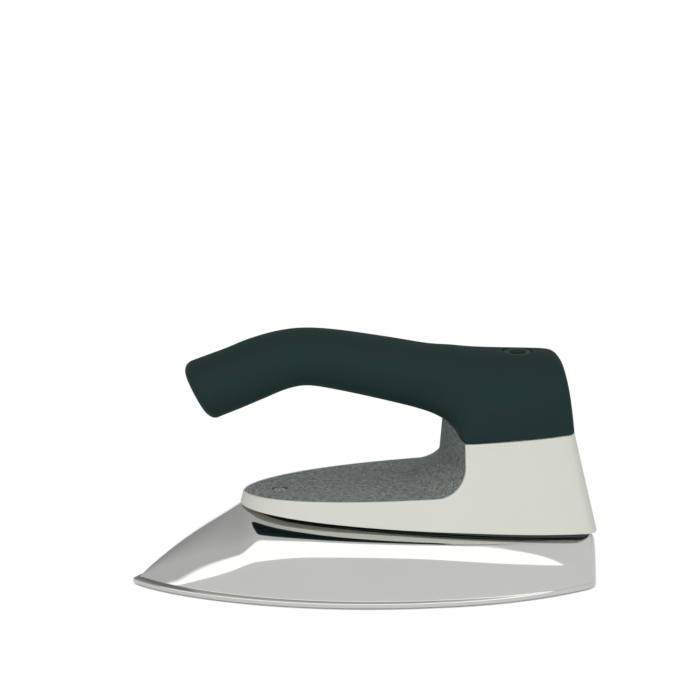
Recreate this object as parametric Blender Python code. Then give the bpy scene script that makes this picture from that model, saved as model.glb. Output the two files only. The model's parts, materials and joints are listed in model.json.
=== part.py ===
"""Dry iron: a polished casting, a pale cover, a dark deck guard and a soft black handle.

The tip points to -X, the heel to +X, and the ironing face lies at Z = 0. All sizes are in metres.
"""
import math

import bmesh
import bpy
from mathutils import Matrix, Vector

# Fits between pieces
GAP = 0.0003
OVERRUN = 0.004
WELD = 0.000001

# Sole casting
SOLE_LENGTH = 0.230
SOLE_WIDTH = 0.102
HEEL_WIDTH = 0.0646
RIM_LOW = 0.0008
RIM_HIGH = 0.0030
FOOT_HEIGHT = 0.0036
FLANGE_WIDTH = 0.0017
FOOT_SETBACK = 0.0036
TIP_CHAMFER = 0.0070
EDGE_CHAMFER = 0.0050
HEEL_CHAMFER = 0.0040
HEEL_CORNER = 0.0050
HEEL_TOP_RADIUS = 0.0036
CREST_RISE = 0.0019
RIDGE_BLEND = 0.0030
SEAT_BLEND = 0.0008
WIDEST_SHARE = 0.635
FLANGE_FADE_SHARES = (0.72, 0.95)
NOSE_POWER = 2.1
NOSE_ROUNDNESS = 0.78
TAIL_POWER = 2.3
RIDGE_POWER = 0.85
# Powers of the section across and up, from the tip to the heel
SECTION_POWERS = ((1.85, 1.11), (2.29, 1.16), (1.09, 3.83), (1.16, 9.30), (2.33, 10.84), (5.07, 5.66),
                  (8.15, 0.90))
SECTION_SPREAD = 0.7
TIP_SPACING = 1.5
TURN_SPACING = 1.6

# Pocket in the casting, with its posts
POCKET_FLOOR = 0.0140
POCKET_INSET = 0.0080
POCKET_FRONT_SETBACK = 0.0327
POCKET_REAR_WALL = 0.0120
POST_RADIUS = 0.0045
FRONT_POST_SETBACK = 0.0660
REAR_POST_SETBACK = 0.0340
FRONT_POST_OFFSET = 0.0120
REAR_POST_OFFSET = 0.0130

# Cover shell
COVER_LENGTH = 0.1757
COVER_WIDTH = 0.0760
COVER_HEEL_WIDTH = 0.0640
COVER_CORNER = 0.0060
COVER_WALL = 0.0030
COVER_LIP = 0.0008
COVER_DRAFT = 0.22
COVER_NOSE_HEIGHT = 0.0410
COVER_HEEL_HEIGHT = 0.0285
NOSE_SLIT = 0.0005
HEEL_SLIT = 0.0030
COVER_WIDEST_SHARE = 0.7154
COVER_NOSE_POWER = 2.4

# Deck, riser and seam
DECK_RISE = 0.0061
DECK_SLOPE = 0.033
SEAM_SLOPE = 0.0185
BLOCK_RISE = 0.0253
RISER_SETBACK = 0.0670
RISER_FILLET = 0.0150
RISER_BULGE = 0.0078
RISER_CROWN = 0.0080
BULGE_RUN = 0.0300
BULGE_FOOT_SHARE = 0.80
BULGE_TOP_SHARE = 0.80
CROWN_POWER = 12
GUARD_THICKNESS = 0.0022
BRIDGE_THICKNESS = 0.0030
BRIDGE_LENGTH = 0.0160
COLUMN_RADIUS = 0.0050

# Grip
GRIP_LENGTH = 0.1933
GRIP_REVEAL = 0.0004
GRIP_RISE = 0.0567
BAR_WIDTH = 0.0340
GRIP_END_RADIUS = 0.0060
# Each row: underside along, underside up, top along, top up, spread, fullness, belly, upper, lower
GRIP_SHARES = (
    (0.072, 0.200, 0.000, 0.685, 0.00, 1.00, 0.50, 2.2, 2.2),
    (0.112, 0.250, 0.058, 0.751, 0.00, 1.00, 0.50, 2.2, 2.2),
    (0.154, 0.302, 0.115, 0.815, 0.00, 1.00, 0.50, 2.2, 2.2),
    (0.211, 0.377, 0.174, 0.889, 0.00, 1.00, 0.50, 2.2, 2.2),
    (0.267, 0.449, 0.247, 0.949, 0.00, 1.00, 0.50, 2.2, 2.2),
    (0.319, 0.473, 0.319, 0.966, 0.00, 1.00, 0.50, 2.2, 2.2),
    (0.392, 0.423, 0.407, 0.933, 0.00, 1.00, 0.50, 2.2, 2.2),
    (0.505, 0.318, 0.531, 0.851, 0.05, 1.00, 0.50, 2.2, 2.2),
    (0.604, 0.220, 0.635, 0.774, 0.16, 1.00, 0.50, 2.2, 2.4),
    (0.655, 0.155, 0.697, 0.746, 0.34, 1.00, 0.42, 2.3, 2.9),
    (0.688, 0.085, 0.736, 0.724, 0.64, 1.00, 0.26, 2.4, 3.9),
    (0.713, 0.000, 0.774, 0.706, 0.95, 1.00, 0.02, 2.6, 10.0),
    (0.785, 0.000, 0.826, 0.691, 1.00, 1.00, 0.02, 2.6, 10.0),
    (0.912, 0.000, 0.901, 0.677, 1.00, 1.00, 0.02, 2.6, 10.0),
    (0.963, 0.000, 0.940, 0.669, 1.00, 0.98, 0.02, 2.6, 10.0),
    (0.986, 0.000, 0.961, 0.648, 1.00, 0.94, 0.02, 2.6, 10.0),
    (0.997, 0.000, 0.975, 0.598, 1.00, 0.87, 0.02, 2.6, 9.0),
    (1.000, 0.010, 0.983, 0.513, 1.00, 0.80, 0.02, 2.6, 6.0),
)

# Handle core and cord inlet
CORE_RADIUS = 0.0050
CORE_ROWS = (2, 8)
CORE_BEND_SHARE = 0.75
BUSH_RADIUS = 0.0058
BUSH_FLANGE_RADIUS = 0.0072
BUSH_FLANGE_HEIGHT = 0.0020
BUSH_SINK = 0.0004
BUSH_DEPTH = 0.0140
CORD_BORE = 0.0042
CORD_SETBACK = 0.0370

# Plates and bracket, stacked on the seat
INSULATION_THICKNESS = 0.0020
INSULATION_CLEARANCE = 0.0005
SHIELD_THICKNESS = 0.0010
SHIELD_INSET = 0.0080
SPACER_HEIGHT = 0.0060
SPACER_RADIUS = 0.0042
BRACKET_THICKNESS = 0.0030
BRACKET_MARGIN = 0.0065
WIRE_SLOT_LENGTH = 0.0060
WIRE_SLOT_WIDTH = 0.0160
WIRE_SLOT_SETBACK = 0.0360
SOCKET_LENGTH = 0.0140
SOCKET_WIDTH = 0.0230
SOCKET_HEIGHT = 0.0280
SOCKET_DEPTH = 0.0240
SOCKET_SETBACK = 0.0520
LUG_THICKNESS = 0.0030
LUG_WIDTH = 0.0380
LUG_HEIGHT = 0.0200
LUG_SETBACK = 0.0165
REAR_SCREW_OFFSET = 0.0130
REAR_SCREW_RISE = 0.0130
REAR_BOSS_LENGTH = 0.0030

# Screws
M4_SHANK = 0.0020
M4_HEAD = 0.0036
M4_HEAD_HEIGHT = 0.0024
M3_SHANK = 0.0015
M3_HEAD = 0.0027
M3_HEAD_HEIGHT = 0.0018
FRONT_SCREW_SETBACK = 0.0197
FRONT_HEAD_HEIGHT = 0.0018
SCREW_BITE = 0.0080
SMALL_BITE = 0.0060
HEAD_RECESS_CLEARANCE = 0.0005
REAR_SCREW_LENGTH = 0.0090

# Heating element and its clamps
ELEMENT_RADIUS = 0.0040
ELEMENT_OFFSET = 0.0230
ELEMENT_BEND_SETBACK = 0.1070
ELEMENT_END_SETBACK = 0.0290
BEAD_RADIUS = 0.0033
BEAD_LENGTH = 0.0050
CLAMP_LENGTH = 0.0080
CLAMP_THICKNESS = 0.0030
CLAMP_MARGIN = 0.0020
FRONT_CLAMP_SETBACK = 0.0790
REAR_CLAMP_SETBACK = 0.0450

# Sensor and limiter
SENSOR_LENGTH = 0.0140
SENSOR_WIDTH = 0.0080
SENSOR_HEIGHT = 0.0050
SENSOR_SETBACK = 0.0630
LIMITER_RADIUS = 0.0080
LIMITER_HEIGHT = 0.0080
LIMITER_SETBACK = 0.1070
STRAP_HALF_LENGTH = 0.0150
STRAP_WIDTH = 0.0070
STRAP_THICKNESS = 0.0010
STRAP_SCREW_OFFSET = 0.0120
BUTTON_RADIUS = 0.0018
BUTTON_RISE = 0.0025
BUTTON_WELL = 0.0050
BUTTON_LENGTH = 0.0055

# Terminals, earth tag and leads
BLOCK_LENGTH = 0.0090
BLOCK_WIDTH = 0.0360
BLOCK_HEIGHT = 0.0090
BLOCK_SETBACK = 0.0250
TERMINAL_PITCH = 0.0092
TERMINAL_SINK = 0.0030
CORD_CLAMP_LENGTH = 0.0120
CORD_CLAMP_WIDTH = 0.0230
CORD_CLAMP_HEIGHT = 0.0080
CORD_CLAMP_SCREW_OFFSET = 0.0082
TAG_LENGTH = 0.0100
TAG_WIDTH = 0.0080
TAG_THICKNESS = 0.0010
TAG_SETBACK = 0.0210
LEAD_RADIUS = 0.0009
LEAD_INNER_LANE = 0.0020
LEAD_OUTER_LANE = 0.0055
LEAD_RISE = 0.0100
LEAD_LOOP = 0.0060
LEAD_SIDE_LANE = 0.0200
LEAD_WALL_GAP = 0.0046

# Counts
FIT_PASSES = 4
TERMINALS = 4
SOLE_STATIONS = 18
CORNER_STEPS = 3
TURN_STEPS = 8
COVER_STATIONS = 20
FILLET_STEPS = 5
DECK_STATIONS = 9
GUARD_COLUMNS = 8
GRIP_STEPS = 2
GRIP_QUARTER = 4
END_STEPS = 3
BEND_STEPS = 6
CORE_SIDES = 10
ELEMENT_SIDES = 10
LEAD_SIDES = 6
LEAD_STEPS = 3
ROUND_SIDES = 16
SMALL_SIDES = 8

# Places that follow from the sizes
TIP_X = -SOLE_LENGTH / 2
HEEL_X = SOLE_LENGTH / 2
FOOT_X = TIP_X + FOOT_SETBACK
COVER_NOSE_X = HEEL_X - COVER_LENGTH
RISER_X = HEEL_X - RISER_SETBACK
FILLET_X = RISER_X - RISER_FILLET
FRONT_SCREW_X = COVER_NOSE_X + FRONT_SCREW_SETBACK
CORD_X = HEEL_X - CORD_SETBACK
SMOOTH_ANGLE = math.radians(35)


# Surfaces: display colour, roughness, metallic
SURFACES = {
    "polished_metal": ((214, 214, 208), 0.08, 1),
    "zinc_steel": ((190, 194, 190), 0.3, 1),
    "dark_steel": ((130, 134, 132), 0.4, 1),
    "brass": ((196, 168, 96), 0.3, 1),
    "insulating_board": ((40, 44, 42), 0.8, 0),
    "ceramic": ((222, 216, 200), 0.5, 0),
    "cover_enamel": ((214, 215, 207), 0.35, 0),
    "guard_texture": ((98, 104, 100), 0.75, 0),
    "soft_grip": ((30, 42, 42), 0.5, 0),
    "rubber": ((26, 28, 28), 0.7, 0),
    "phenolic": ((52, 40, 32), 0.5, 0),
    "red_plastic": ((170, 40, 30), 0.4, 0),
    "brown_lead": ((96, 58, 36), 0.5, 0),
    "blue_lead": ((52, 88, 150), 0.5, 0),
    "green_lead": ((88, 140, 60), 0.5, 0),
    "white_lead": ((220, 218, 208), 0.5, 0),
    "red_lead": ((150, 50, 40), 0.5, 0),
}
DISPLAY_SCALE = 255
DISPLAY_GAMMA = 2.2


def material(name):
    """Plain surface with one colour."""
    display, roughness, metallic = SURFACES[name]
    base = tuple((value / DISPLAY_SCALE) ** DISPLAY_GAMMA for value in display) + (1,)
    result = bpy.data.materials.new(name)
    result.use_nodes = True
    shader = result.node_tree.nodes["Principled BSDF"]
    shader.inputs["Base Color"].default_value = base
    shader.inputs["Roughness"].default_value = roughness
    shader.inputs["Metallic"].default_value = metallic
    result.diffuse_color = base
    return result


def clear_scene():
    """Remove what the scene holds."""
    for item in list(bpy.data.objects):
        bpy.data.objects.remove(item, do_unlink=True)


def smooth_step(value):
    """Ease from 0 to 1."""
    value = min(max(value, 0), 1)
    return value * value * (3 - 2 * value)


def soft_min(first, second, blend):
    """Lower of two heights, rounded over the blend where they meet."""
    share = min(max((second - first) / blend / 2 + 1 / 2, 0), 1)
    return second + (first - second) * share - blend * share * (1 - share)


def eased_inset(width, inset):
    """Width drawn in by the inset, but never past the middle."""
    if inset <= 0:
        return width - inset
    return width - inset * (1 - math.exp(-width / inset))


def corner_loss(distance, radius):
    """How far a round corner draws a side in, at a distance from its end."""
    if distance >= radius:
        return 0
    return radius - math.sqrt(max(radius ** 2 - (radius - distance) ** 2, 0))


def arc_angles(start, end, steps):
    """Even angles from start to end."""
    return [start + (end - start) * step / steps for step in range(steps + 1)]


def between(before, first, second, after, t):
    """Vector on the smooth curve from the first to the second."""
    return (2 * first + (second - before) * t + (2 * before - 5 * first + 4 * second - after) * t ** 2
            + (3 * first - before - 3 * second + after) * t ** 3) / 2


def catmull_rom(points, steps):
    """Smooth run of vectors through the points."""
    ends = [points[0]] + list(points) + [points[-1]]
    run = []
    for span in zip(ends, ends[1:], ends[2:], ends[3:]):
        run += [between(*span, step / steps) for step in range(steps)]
    run.append(points[-1])
    return run


def finish(bm, name, surface, parent=None, place=None):
    """Turn a mesh into a named object with its material."""
    bmesh.ops.remove_doubles(bm, verts=bm.verts, dist=WELD)
    bmesh.ops.recalc_face_normals(bm, faces=bm.faces)
    mesh = bpy.data.meshes.new(name)
    bm.to_mesh(mesh)
    bm.free()
    mesh.shade_smooth()
    mesh.set_sharp_from_angle(angle=SMOOTH_ANGLE)
    obj = bpy.data.objects.new(name, mesh)
    if surface:
        mesh.materials.append(surface)
    bpy.context.scene.collection.objects.link(obj)
    if place:
        obj.location = place
    obj.parent = parent
    return obj


def cutter(bm, name, parent=None, place=None):
    """Turn a mesh into a hidden cutter."""
    obj = finish(bm, name, None, parent, place)
    obj.hide_render = True
    obj.display_type = "WIRE"
    return obj


def cut(obj, tool, operation="DIFFERENCE"):
    """Add an exact Boolean."""
    modifier = obj.modifiers.new(tool.name, "BOOLEAN")
    modifier.operation = operation
    modifier.object = tool


def add_box(bm, low, high):
    """Box between two corners."""
    low = Vector(low)
    high = Vector(high)
    size = high - low
    matrix = Matrix.Translation((low + high) / 2) @ Matrix.Diagonal((*size, 1))
    bmesh.ops.create_cube(bm, size=1, matrix=matrix)


def add_turned(bm, profile, sides, centre=(0, 0, 0), turn=None):
    """Profile of (radius, height) pairs turned round a line through the centre."""
    start = bmesh.new()
    verts = [start.verts.new((radius, 0, height)) for radius, height in profile]
    edges = [start.edges.new(pair) for pair in zip(verts, verts[1:])]
    bmesh.ops.spin(start, geom=verts + edges, cent=(0, 0, 0), axis=(0, 0, 1),
                   angle=math.tau, steps=sides, use_merge=True)
    bmesh.ops.remove_doubles(start, verts=start.verts, dist=WELD)
    bmesh.ops.recalc_face_normals(start, faces=start.faces)
    if turn:
        bmesh.ops.transform(start, matrix=turn, verts=start.verts)
    bmesh.ops.translate(start, vec=centre, verts=start.verts)
    part = bpy.data.meshes.new("turned")
    start.to_mesh(part)
    start.free()
    bm.from_mesh(part)
    bpy.data.meshes.remove(part)


def add_cylinder(bm, radius, low, high, sides, centre=(0, 0, 0), turn=None):
    """Closed cylinder round a line through the centre."""
    add_turned(bm, [(0, low), (radius, low), (radius, high), (0, high)], sides, centre, turn)


def add_rings(bm, rings):
    """Closed skin over rings of points, with a cap on the first and the last."""
    grid = [[bm.verts.new(point) for point in ring] for ring in rings]
    for first, second in zip(grid, grid[1:]):
        for index in range(len(first)):
            after = (index + 1) % len(first)
            bm.faces.new((first[index], first[after], second[after], second[index]))
    bm.faces.new(grid[0])
    bm.faces.new(grid[-1])


def add_sweep(bm, points, radius, sides):
    """Round bar along the points."""
    rings = []
    side = Vector((0, 1, 0))
    for index, point in enumerate(points):
        before = points[max(index - 1, 0)]
        after = points[min(index + 1, len(points) - 1)]
        along = (after - before).normalized()
        side = (side - along * side.dot(along)).normalized()
        up = along.cross(side)
        angles = arc_angles(0, math.tau, sides)[:-1]
        rings.append([point + (side * math.cos(a) + up * math.sin(a)) * radius for a in angles])
    add_rings(bm, rings)


def add_prism(bm, outline, low, high):
    """Upright prism over an outline of (x, y) pairs."""
    add_rings(bm, [[(x, y, z) for x, y in outline] for z in (low, high)])


def base_height(x):
    """Underside of the cover."""
    share = (x - COVER_NOSE_X) / COVER_LENGTH
    return COVER_NOSE_HEIGHT + (COVER_HEEL_HEIGHT - COVER_NOSE_HEIGHT) * share


def seat_height(x):
    """Flat top of the casting, under the cover."""
    share = (x - COVER_NOSE_X) / COVER_LENGTH
    return base_height(x) - NOSE_SLIT - (HEEL_SLIT - NOSE_SLIT) * share


def deck_height(x):
    """Top of the deck guard."""
    return COVER_NOSE_HEIGHT + DECK_RISE + DECK_SLOPE * (x - COVER_NOSE_X)


def seam_height(x):
    """Seam between the cover and the grip."""
    return deck_height(RISER_X) + BLOCK_RISE + SEAM_SLOPE * (x - RISER_X)


def sole_half_width(share):
    """Half width of the sole's outline, from the tip (0) to the heel (1)."""
    if share < WIDEST_SHARE:
        run = share / WIDEST_SHARE
        return SOLE_WIDTH / 2 * (1 - (1 - run) ** NOSE_POWER) ** NOSE_ROUNDNESS
    run = (share - WIDEST_SHARE) / (1 - WIDEST_SHARE)
    half = SOLE_WIDTH / 2 - (SOLE_WIDTH - HEEL_WIDTH) / 2 * run ** TAIL_POWER
    return half - corner_loss((1 - share) * SOLE_LENGTH, HEEL_CORNER)


def foot_half_width(share):
    """Half width of the body above its flange, which fades out towards the heel."""
    start, end = FLANGE_FADE_SHARES
    flange = FLANGE_WIDTH * (1 - smooth_step((share - start) / (end - start)))
    return eased_inset(sole_half_width(share), flange)


def crest_height(x):
    """Middle line of the body: the nose ridge, then the line just above the seat."""
    run = max(x - FOOT_X, 0) / (COVER_NOSE_X - FOOT_X)
    ridge = FOOT_HEIGHT + (seat_height(COVER_NOSE_X) - FOOT_HEIGHT) * run ** RIDGE_POWER
    return soft_min(ridge, seat_height(x) + CREST_RISE, RIDGE_BLEND)


def section_powers(share):
    """Powers of the body's section across and up, at a place from the tip to the heel."""
    spans = len(SECTION_POWERS) - 1
    place = share ** SECTION_SPREAD * spans
    first = min(int(place), spans - 1)
    rows = [Vector(SECTION_POWERS[min(max(index, 0), spans)]) for index in range(first - 1, first + 3)]
    return between(*rows, place - first)


def body_point(share, side, turn):
    """Point on the body, from its foot (turn 0) to its middle line (turn 1)."""
    x = FOOT_X + share * (HEEL_X - FOOT_X)
    loss = corner_loss(HEEL_X - x, HEEL_TOP_RADIUS)
    flat, steep = section_powers(share)
    angle = math.pi / 2 * turn ** TURN_SPACING
    across = math.cos(angle) ** (2 / flat) if turn < 1 else 0
    height = max(crest_height(x) - loss - FOOT_HEIGHT, 0) * math.sin(angle) ** (2 / steep)
    z = soft_min(FOOT_HEIGHT + height, seat_height(x) - loss, SEAT_BLEND)
    return (x, side * foot_half_width(share) * across, z)


def rim_point(share, side, z):
    """Point on the outer edge of the sole."""
    return (TIP_X + share * SOLE_LENGTH, side * sole_half_width(share), z)


def face_point(share, side):
    """Point on the edge of the flat ironing face."""
    start = TIP_X + TIP_CHAMFER
    x = start + share * (HEEL_X - HEEL_CHAMFER - start)
    return (x, side * eased_inset(sole_half_width(share), EDGE_CHAMFER), 0)


def sole_section(share):
    """One closed section of the casting, from the middle of its face round and back."""
    turns = [step / TURN_STEPS for step in range(TURN_STEPS)]
    sides = []
    for side in (-1, 1):
        points = [face_point(share, side), rim_point(share, side, RIM_LOW), rim_point(share, side, RIM_HIGH)]
        points += [body_point(share, side, turn) for turn in turns]
        sides.append(points)
    left, right = sides
    return [face_point(share, 0)] + left + [body_point(share, 0, 1)] + right[::-1]


def sole_shares():
    """Stations along the sole, close together at the tip and round the heel's corners."""
    run = 1 - HEEL_CORNER / SOLE_LENGTH
    shares = [run * (step / SOLE_STATIONS) ** TIP_SPACING for step in range(SOLE_STATIONS + 1)]
    angles = arc_angles(0, math.pi / 2, CORNER_STEPS)[1:]
    return shares + [run + (1 - run) * math.sin(angle) for angle in angles]


def sole_mesh():
    """Solid casting, before its pocket and holes."""
    bm = bmesh.new()
    grid = [[bm.verts.new(point) for point in sole_section(share)] for share in sole_shares()]
    for first, second in zip(grid, grid[1:]):
        for index in range(len(first)):
            after = (index + 1) % len(first)
            bm.faces.new((first[index], first[after], second[after], second[index]))
    last = grid[-1]
    bm.faces.new(last[2:-1])
    bm.faces.new(last[:3] + last[-2:])
    return bm


def cover_half_width(share):
    """Half width of the cover's lower edge, from its nose (0) to its heel (1)."""
    if share < COVER_WIDEST_SHARE:
        run = max(share, 0) / COVER_WIDEST_SHARE
        return COVER_WIDTH / 2 * math.sqrt(1 - (1 - run) ** COVER_NOSE_POWER)
    run = (share - COVER_WIDEST_SHARE) / (1 - COVER_WIDEST_SHARE)
    half = COVER_WIDTH / 2 - (COVER_WIDTH - COVER_HEEL_WIDTH) / 2 * run ** 2
    return half - corner_loss((1 - share) * COVER_LENGTH, COVER_CORNER)


def cover_reach(x, z, inset):
    """Half width of the cover at a place, drawn in by the inset."""
    pull = COVER_DRAFT * (z - base_height(x)) + inset
    share = (x - COVER_NOSE_X - pull) / (COVER_LENGTH - 2 * pull)
    return eased_inset(cover_half_width(min(max(share, 0), 1)), pull)


def cover_point(share, height, inset):
    """Point on the cover's side where it meets a height line."""
    x = COVER_NOSE_X + share * COVER_LENGTH
    for _ in range(FIT_PASSES):
        pull = COVER_DRAFT * (height(x) - base_height(x)) + inset
        x = COVER_NOSE_X + pull + share * (COVER_LENGTH - 2 * pull)
    return x, eased_inset(cover_half_width(share), pull), height(x)


def cover_shares():
    """Stations along the cover, close together at its nose and round its rear corners."""
    run = 1 - COVER_CORNER / COVER_LENGTH
    shares = [run * (step / COVER_STATIONS) ** 2 for step in range(COVER_STATIONS + 1)]
    angles = arc_angles(0, math.pi / 2, CORNER_STEPS)[1:]
    return shares + [run + (1 - run) * math.sin(angle) for angle in angles]


def cover_ring(height, inset):
    """Closed outline of the cover at a height line."""
    points = [cover_point(share, height, inset) for share in cover_shares()]
    left = [(x, -y, z) for x, y, z in points]
    return left + points[:0:-1]


def cover_layer(low, high, inset):
    """Solid between two height lines, with the cover's drafted outline and its twisted sides split into flats."""
    bm = bmesh.new()
    add_rings(bm, [cover_ring(low, inset), cover_ring(high, inset)])
    bmesh.ops.triangulate(bm, faces=[face for face in bm.faces if len(face.verts) == 4])
    return bm


def below_base(x):
    """Under the cover's lower edge."""
    return base_height(x) - OVERRUN


def above_seam(x):
    """Over the cover's top edge."""
    return seam_height(x) + OVERRUN


def step_profile(offset):
    """Deck, fillet and riser seen from the side, moved into the cover by the offset."""
    centre = deck_height(FILLET_X) + RISER_FILLET
    radius = RISER_FILLET + offset
    start = COVER_NOSE_X - OVERRUN
    points = [(start, deck_height(start) - offset)]
    for angle in arc_angles(-math.pi / 2, 0, FILLET_STEPS):
        points.append((FILLET_X + radius * math.cos(angle), centre + radius * math.sin(angle)))
    points.append((RISER_X + offset, above_seam(RISER_X) + OVERRUN))
    return points


def step_cutter(name, offset):
    """Space over the deck and before the riser."""
    profile = step_profile(offset)
    profile.append((profile[0][0], profile[-1][1]))
    bm = bmesh.new()
    add_rings(bm, [[(x, y, z) for x, z in profile] for y in (-COVER_WIDTH, COVER_WIDTH)])
    return cutter(bm, name)


def stack_levels():
    """Heights over the seat of the pieces stacked on it."""
    insulation = GAP
    shield = insulation + INSULATION_THICKNESS + GAP
    spacer = shield + SHIELD_THICKNESS + GAP
    bracket = spacer + SPACER_HEIGHT + GAP
    return insulation, shield, spacer, bracket


def stack_frame():
    """Empty on the seat, tilted with it."""
    frame = bpy.data.objects.new("stack_frame", None)
    frame.location = (0, 0, seat_height(0))
    frame.rotation_euler = (0, stack_tilt(), 0)
    bpy.context.scene.collection.objects.link(frame)
    return frame


def stack_tilt():
    """Slope of the seat."""
    return math.atan((seat_height(0) - seat_height(HEEL_X)) / HEEL_X)


def stack_point(x, y, z):
    """Place in the scene of a point over the seat."""
    turn = Matrix.Rotation(stack_tilt(), 4, "Y")
    return Matrix.Translation((0, 0, seat_height(0))) @ turn @ Vector((x, y, z))


def post_places():
    """Middle of each post in the pocket."""
    front = HEEL_X - FRONT_POST_SETBACK
    rear = HEEL_X - REAR_POST_SETBACK
    return [(front, -FRONT_POST_OFFSET), (front, FRONT_POST_OFFSET),
            (rear, -REAR_POST_OFFSET), (rear, REAR_POST_OFFSET)]


def screw_profile(shank, head, head_height, length):
    """Pan head screw seated at height 0."""
    return [(0, -length), (shank, -length), (shank, 0), (head, 0), (head, head_height), (0, head_height)]


def make_screw(name, size, length, surface, place, parent=None, turn=None):
    """Pan head screw with its seat at the place."""
    bm = bmesh.new()
    add_turned(bm, screw_profile(*size, length), SMALL_SIDES)
    obj = finish(bm, name, surface, parent, place)
    if turn:
        obj.rotation_euler = turn
    return obj


M4 = (M4_SHANK, M4_HEAD, M4_HEAD_HEIGHT)
M3 = (M3_SHANK, M3_HEAD, M3_HEAD_HEIGHT)


def pocket_reach(x):
    """Half width of the pocket, which follows the cover."""
    return cover_reach(x, base_height(x), POCKET_INSET)


def pocket_outline():
    """Outline of the pocket."""
    start = COVER_NOSE_X + POCKET_FRONT_SETBACK
    end = HEEL_X - POCKET_REAR_WALL
    places = [start + (end - start) * step / COVER_STATIONS for step in range(COVER_STATIONS + 1)]
    side = [(x, pocket_reach(x)) for x in places]
    return [(x, -y) for x, y in side] + side[::-1]


def element_path(extra):
    """Middle line of the heating element, run on past its ends by the extra length."""
    end = HEEL_X - ELEMENT_END_SETBACK + extra
    centre = HEEL_X - ELEMENT_BEND_SETBACK
    points = [Vector((end, -ELEMENT_OFFSET, POCKET_FLOOR))]
    for angle in arc_angles(-math.pi / 2, -3 * math.pi / 2, 2 * BEND_STEPS):
        x = centre + ELEMENT_OFFSET * math.cos(angle)
        points.append(Vector((x, ELEMENT_OFFSET * math.sin(angle), POCKET_FLOOR)))
    points.append(Vector((end, ELEMENT_OFFSET, POCKET_FLOOR)))
    return points


def clamp_places():
    """Middle of each bar over the heating element."""
    return {"front": HEEL_X - FRONT_CLAMP_SETBACK, "rear": HEEL_X - REAR_CLAMP_SETBACK}


def make_front_hole():
    """Upright hole for the screw in the deck."""
    bm = bmesh.new()
    low = seat_height(FRONT_SCREW_X) - SCREW_BITE - GAP
    add_cylinder(bm, M4_SHANK + GAP, low, deck_height(FRONT_SCREW_X) + OVERRUN, SMALL_SIDES, (FRONT_SCREW_X, 0, 0))
    return cutter(bm, "front_screw_hole")


def make_sole(frame, front_hole, surface):
    """Casting with its pocket, posts, groove and screw holes."""
    sole = finish(sole_mesh(), "sole_plate", surface)
    bm = bmesh.new()
    add_prism(bm, pocket_outline(), POCKET_FLOOR, COVER_NOSE_HEIGHT + OVERRUN)
    pocket = cutter(bm, "pocket_cutter")
    bm = bmesh.new()
    for x, y in post_places():
        add_cylinder(bm, POST_RADIUS, -SOLE_WIDTH / 2, OVERRUN, ROUND_SIDES, (x, y, 0))
    cut(pocket, cutter(bm, "post_shapes", frame))
    cut(sole, pocket)
    bm = bmesh.new()
    add_sweep(bm, element_path(LEAD_LOOP + BEAD_LENGTH), ELEMENT_RADIUS + GAP, ELEMENT_SIDES)
    cut(sole, cutter(bm, "element_groove"))
    bm = bmesh.new()
    for x, y in post_places():
        add_cylinder(bm, M4_SHANK + GAP, -SCREW_BITE - GAP, OVERRUN, SMALL_SIDES, (x, y, 0))
    cut(sole, cutter(bm, "stack_screw_holes", frame))
    cut(sole, front_hole)
    bm = bmesh.new()
    for x, y in floor_screws():
        add_cylinder(bm, M3_SHANK + GAP, POCKET_FLOOR - SMALL_BITE - GAP, POCKET_FLOOR + OVERRUN,
                     SMALL_SIDES, (x, y, 0))
    cut(sole, cutter(bm, "floor_screw_holes"))


def limiter_x():
    """Middle of the limiter."""
    return HEEL_X - LIMITER_SETBACK


def sensor_x():
    """Middle of the sensor."""
    return HEEL_X - SENSOR_SETBACK


def tag_x():
    """Screw of the earth tag."""
    return HEEL_X - TAG_SETBACK


def floor_screws():
    """Screws into the pocket's floor."""
    places = [(x, 0) for x in clamp_places().values()]
    places += [(limiter_x(), side * STRAP_SCREW_OFFSET) for side in (-1, 1)]
    places += [(sensor_x(), 0), (tag_x(), 0)]
    return places


def make_element(metal, ceramic):
    """Heating element and the bead on each end."""
    bm = bmesh.new()
    add_sweep(bm, element_path(0), ELEMENT_RADIUS, ELEMENT_SIDES)
    finish(bm, "heating_element", metal)
    for name, side in (("left", -1), ("right", 1)):
        bm = bmesh.new()
        turn = Matrix.Rotation(math.pi / 2, 4, "Y")
        add_cylinder(bm, BEAD_RADIUS, GAP, BEAD_LENGTH, SMALL_SIDES, turn=turn)
        place = (HEEL_X - ELEMENT_END_SETBACK, side * ELEMENT_OFFSET, POCKET_FLOOR)
        finish(bm, "element_bead_" + name, ceramic, place=place)


def make_clamps(metal, steel):
    """Bars that hold the heating element down."""
    low = ELEMENT_RADIUS + GAP
    high = low + CLAMP_THICKNESS
    reach = ELEMENT_OFFSET + CLAMP_MARGIN
    for name, x in clamp_places().items():
        bm = bmesh.new()
        add_box(bm, (-CLAMP_LENGTH / 2, -reach, low), (CLAMP_LENGTH / 2, reach, high))
        bar = finish(bm, "element_clamp_" + name, metal, place=(x, 0, POCKET_FLOOR))
        bm = bmesh.new()
        add_cylinder(bm, M3_SHANK + GAP, 0, high + OVERRUN, SMALL_SIDES)
        cut(bar, cutter(bm, "element_clamp_hole_" + name, place=(x, 0, POCKET_FLOOR)))
        seat = (x, 0, POCKET_FLOOR + high + GAP)
        make_screw("element_clamp_screw_" + name, M3, high + SMALL_BITE, steel, seat)


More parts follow.
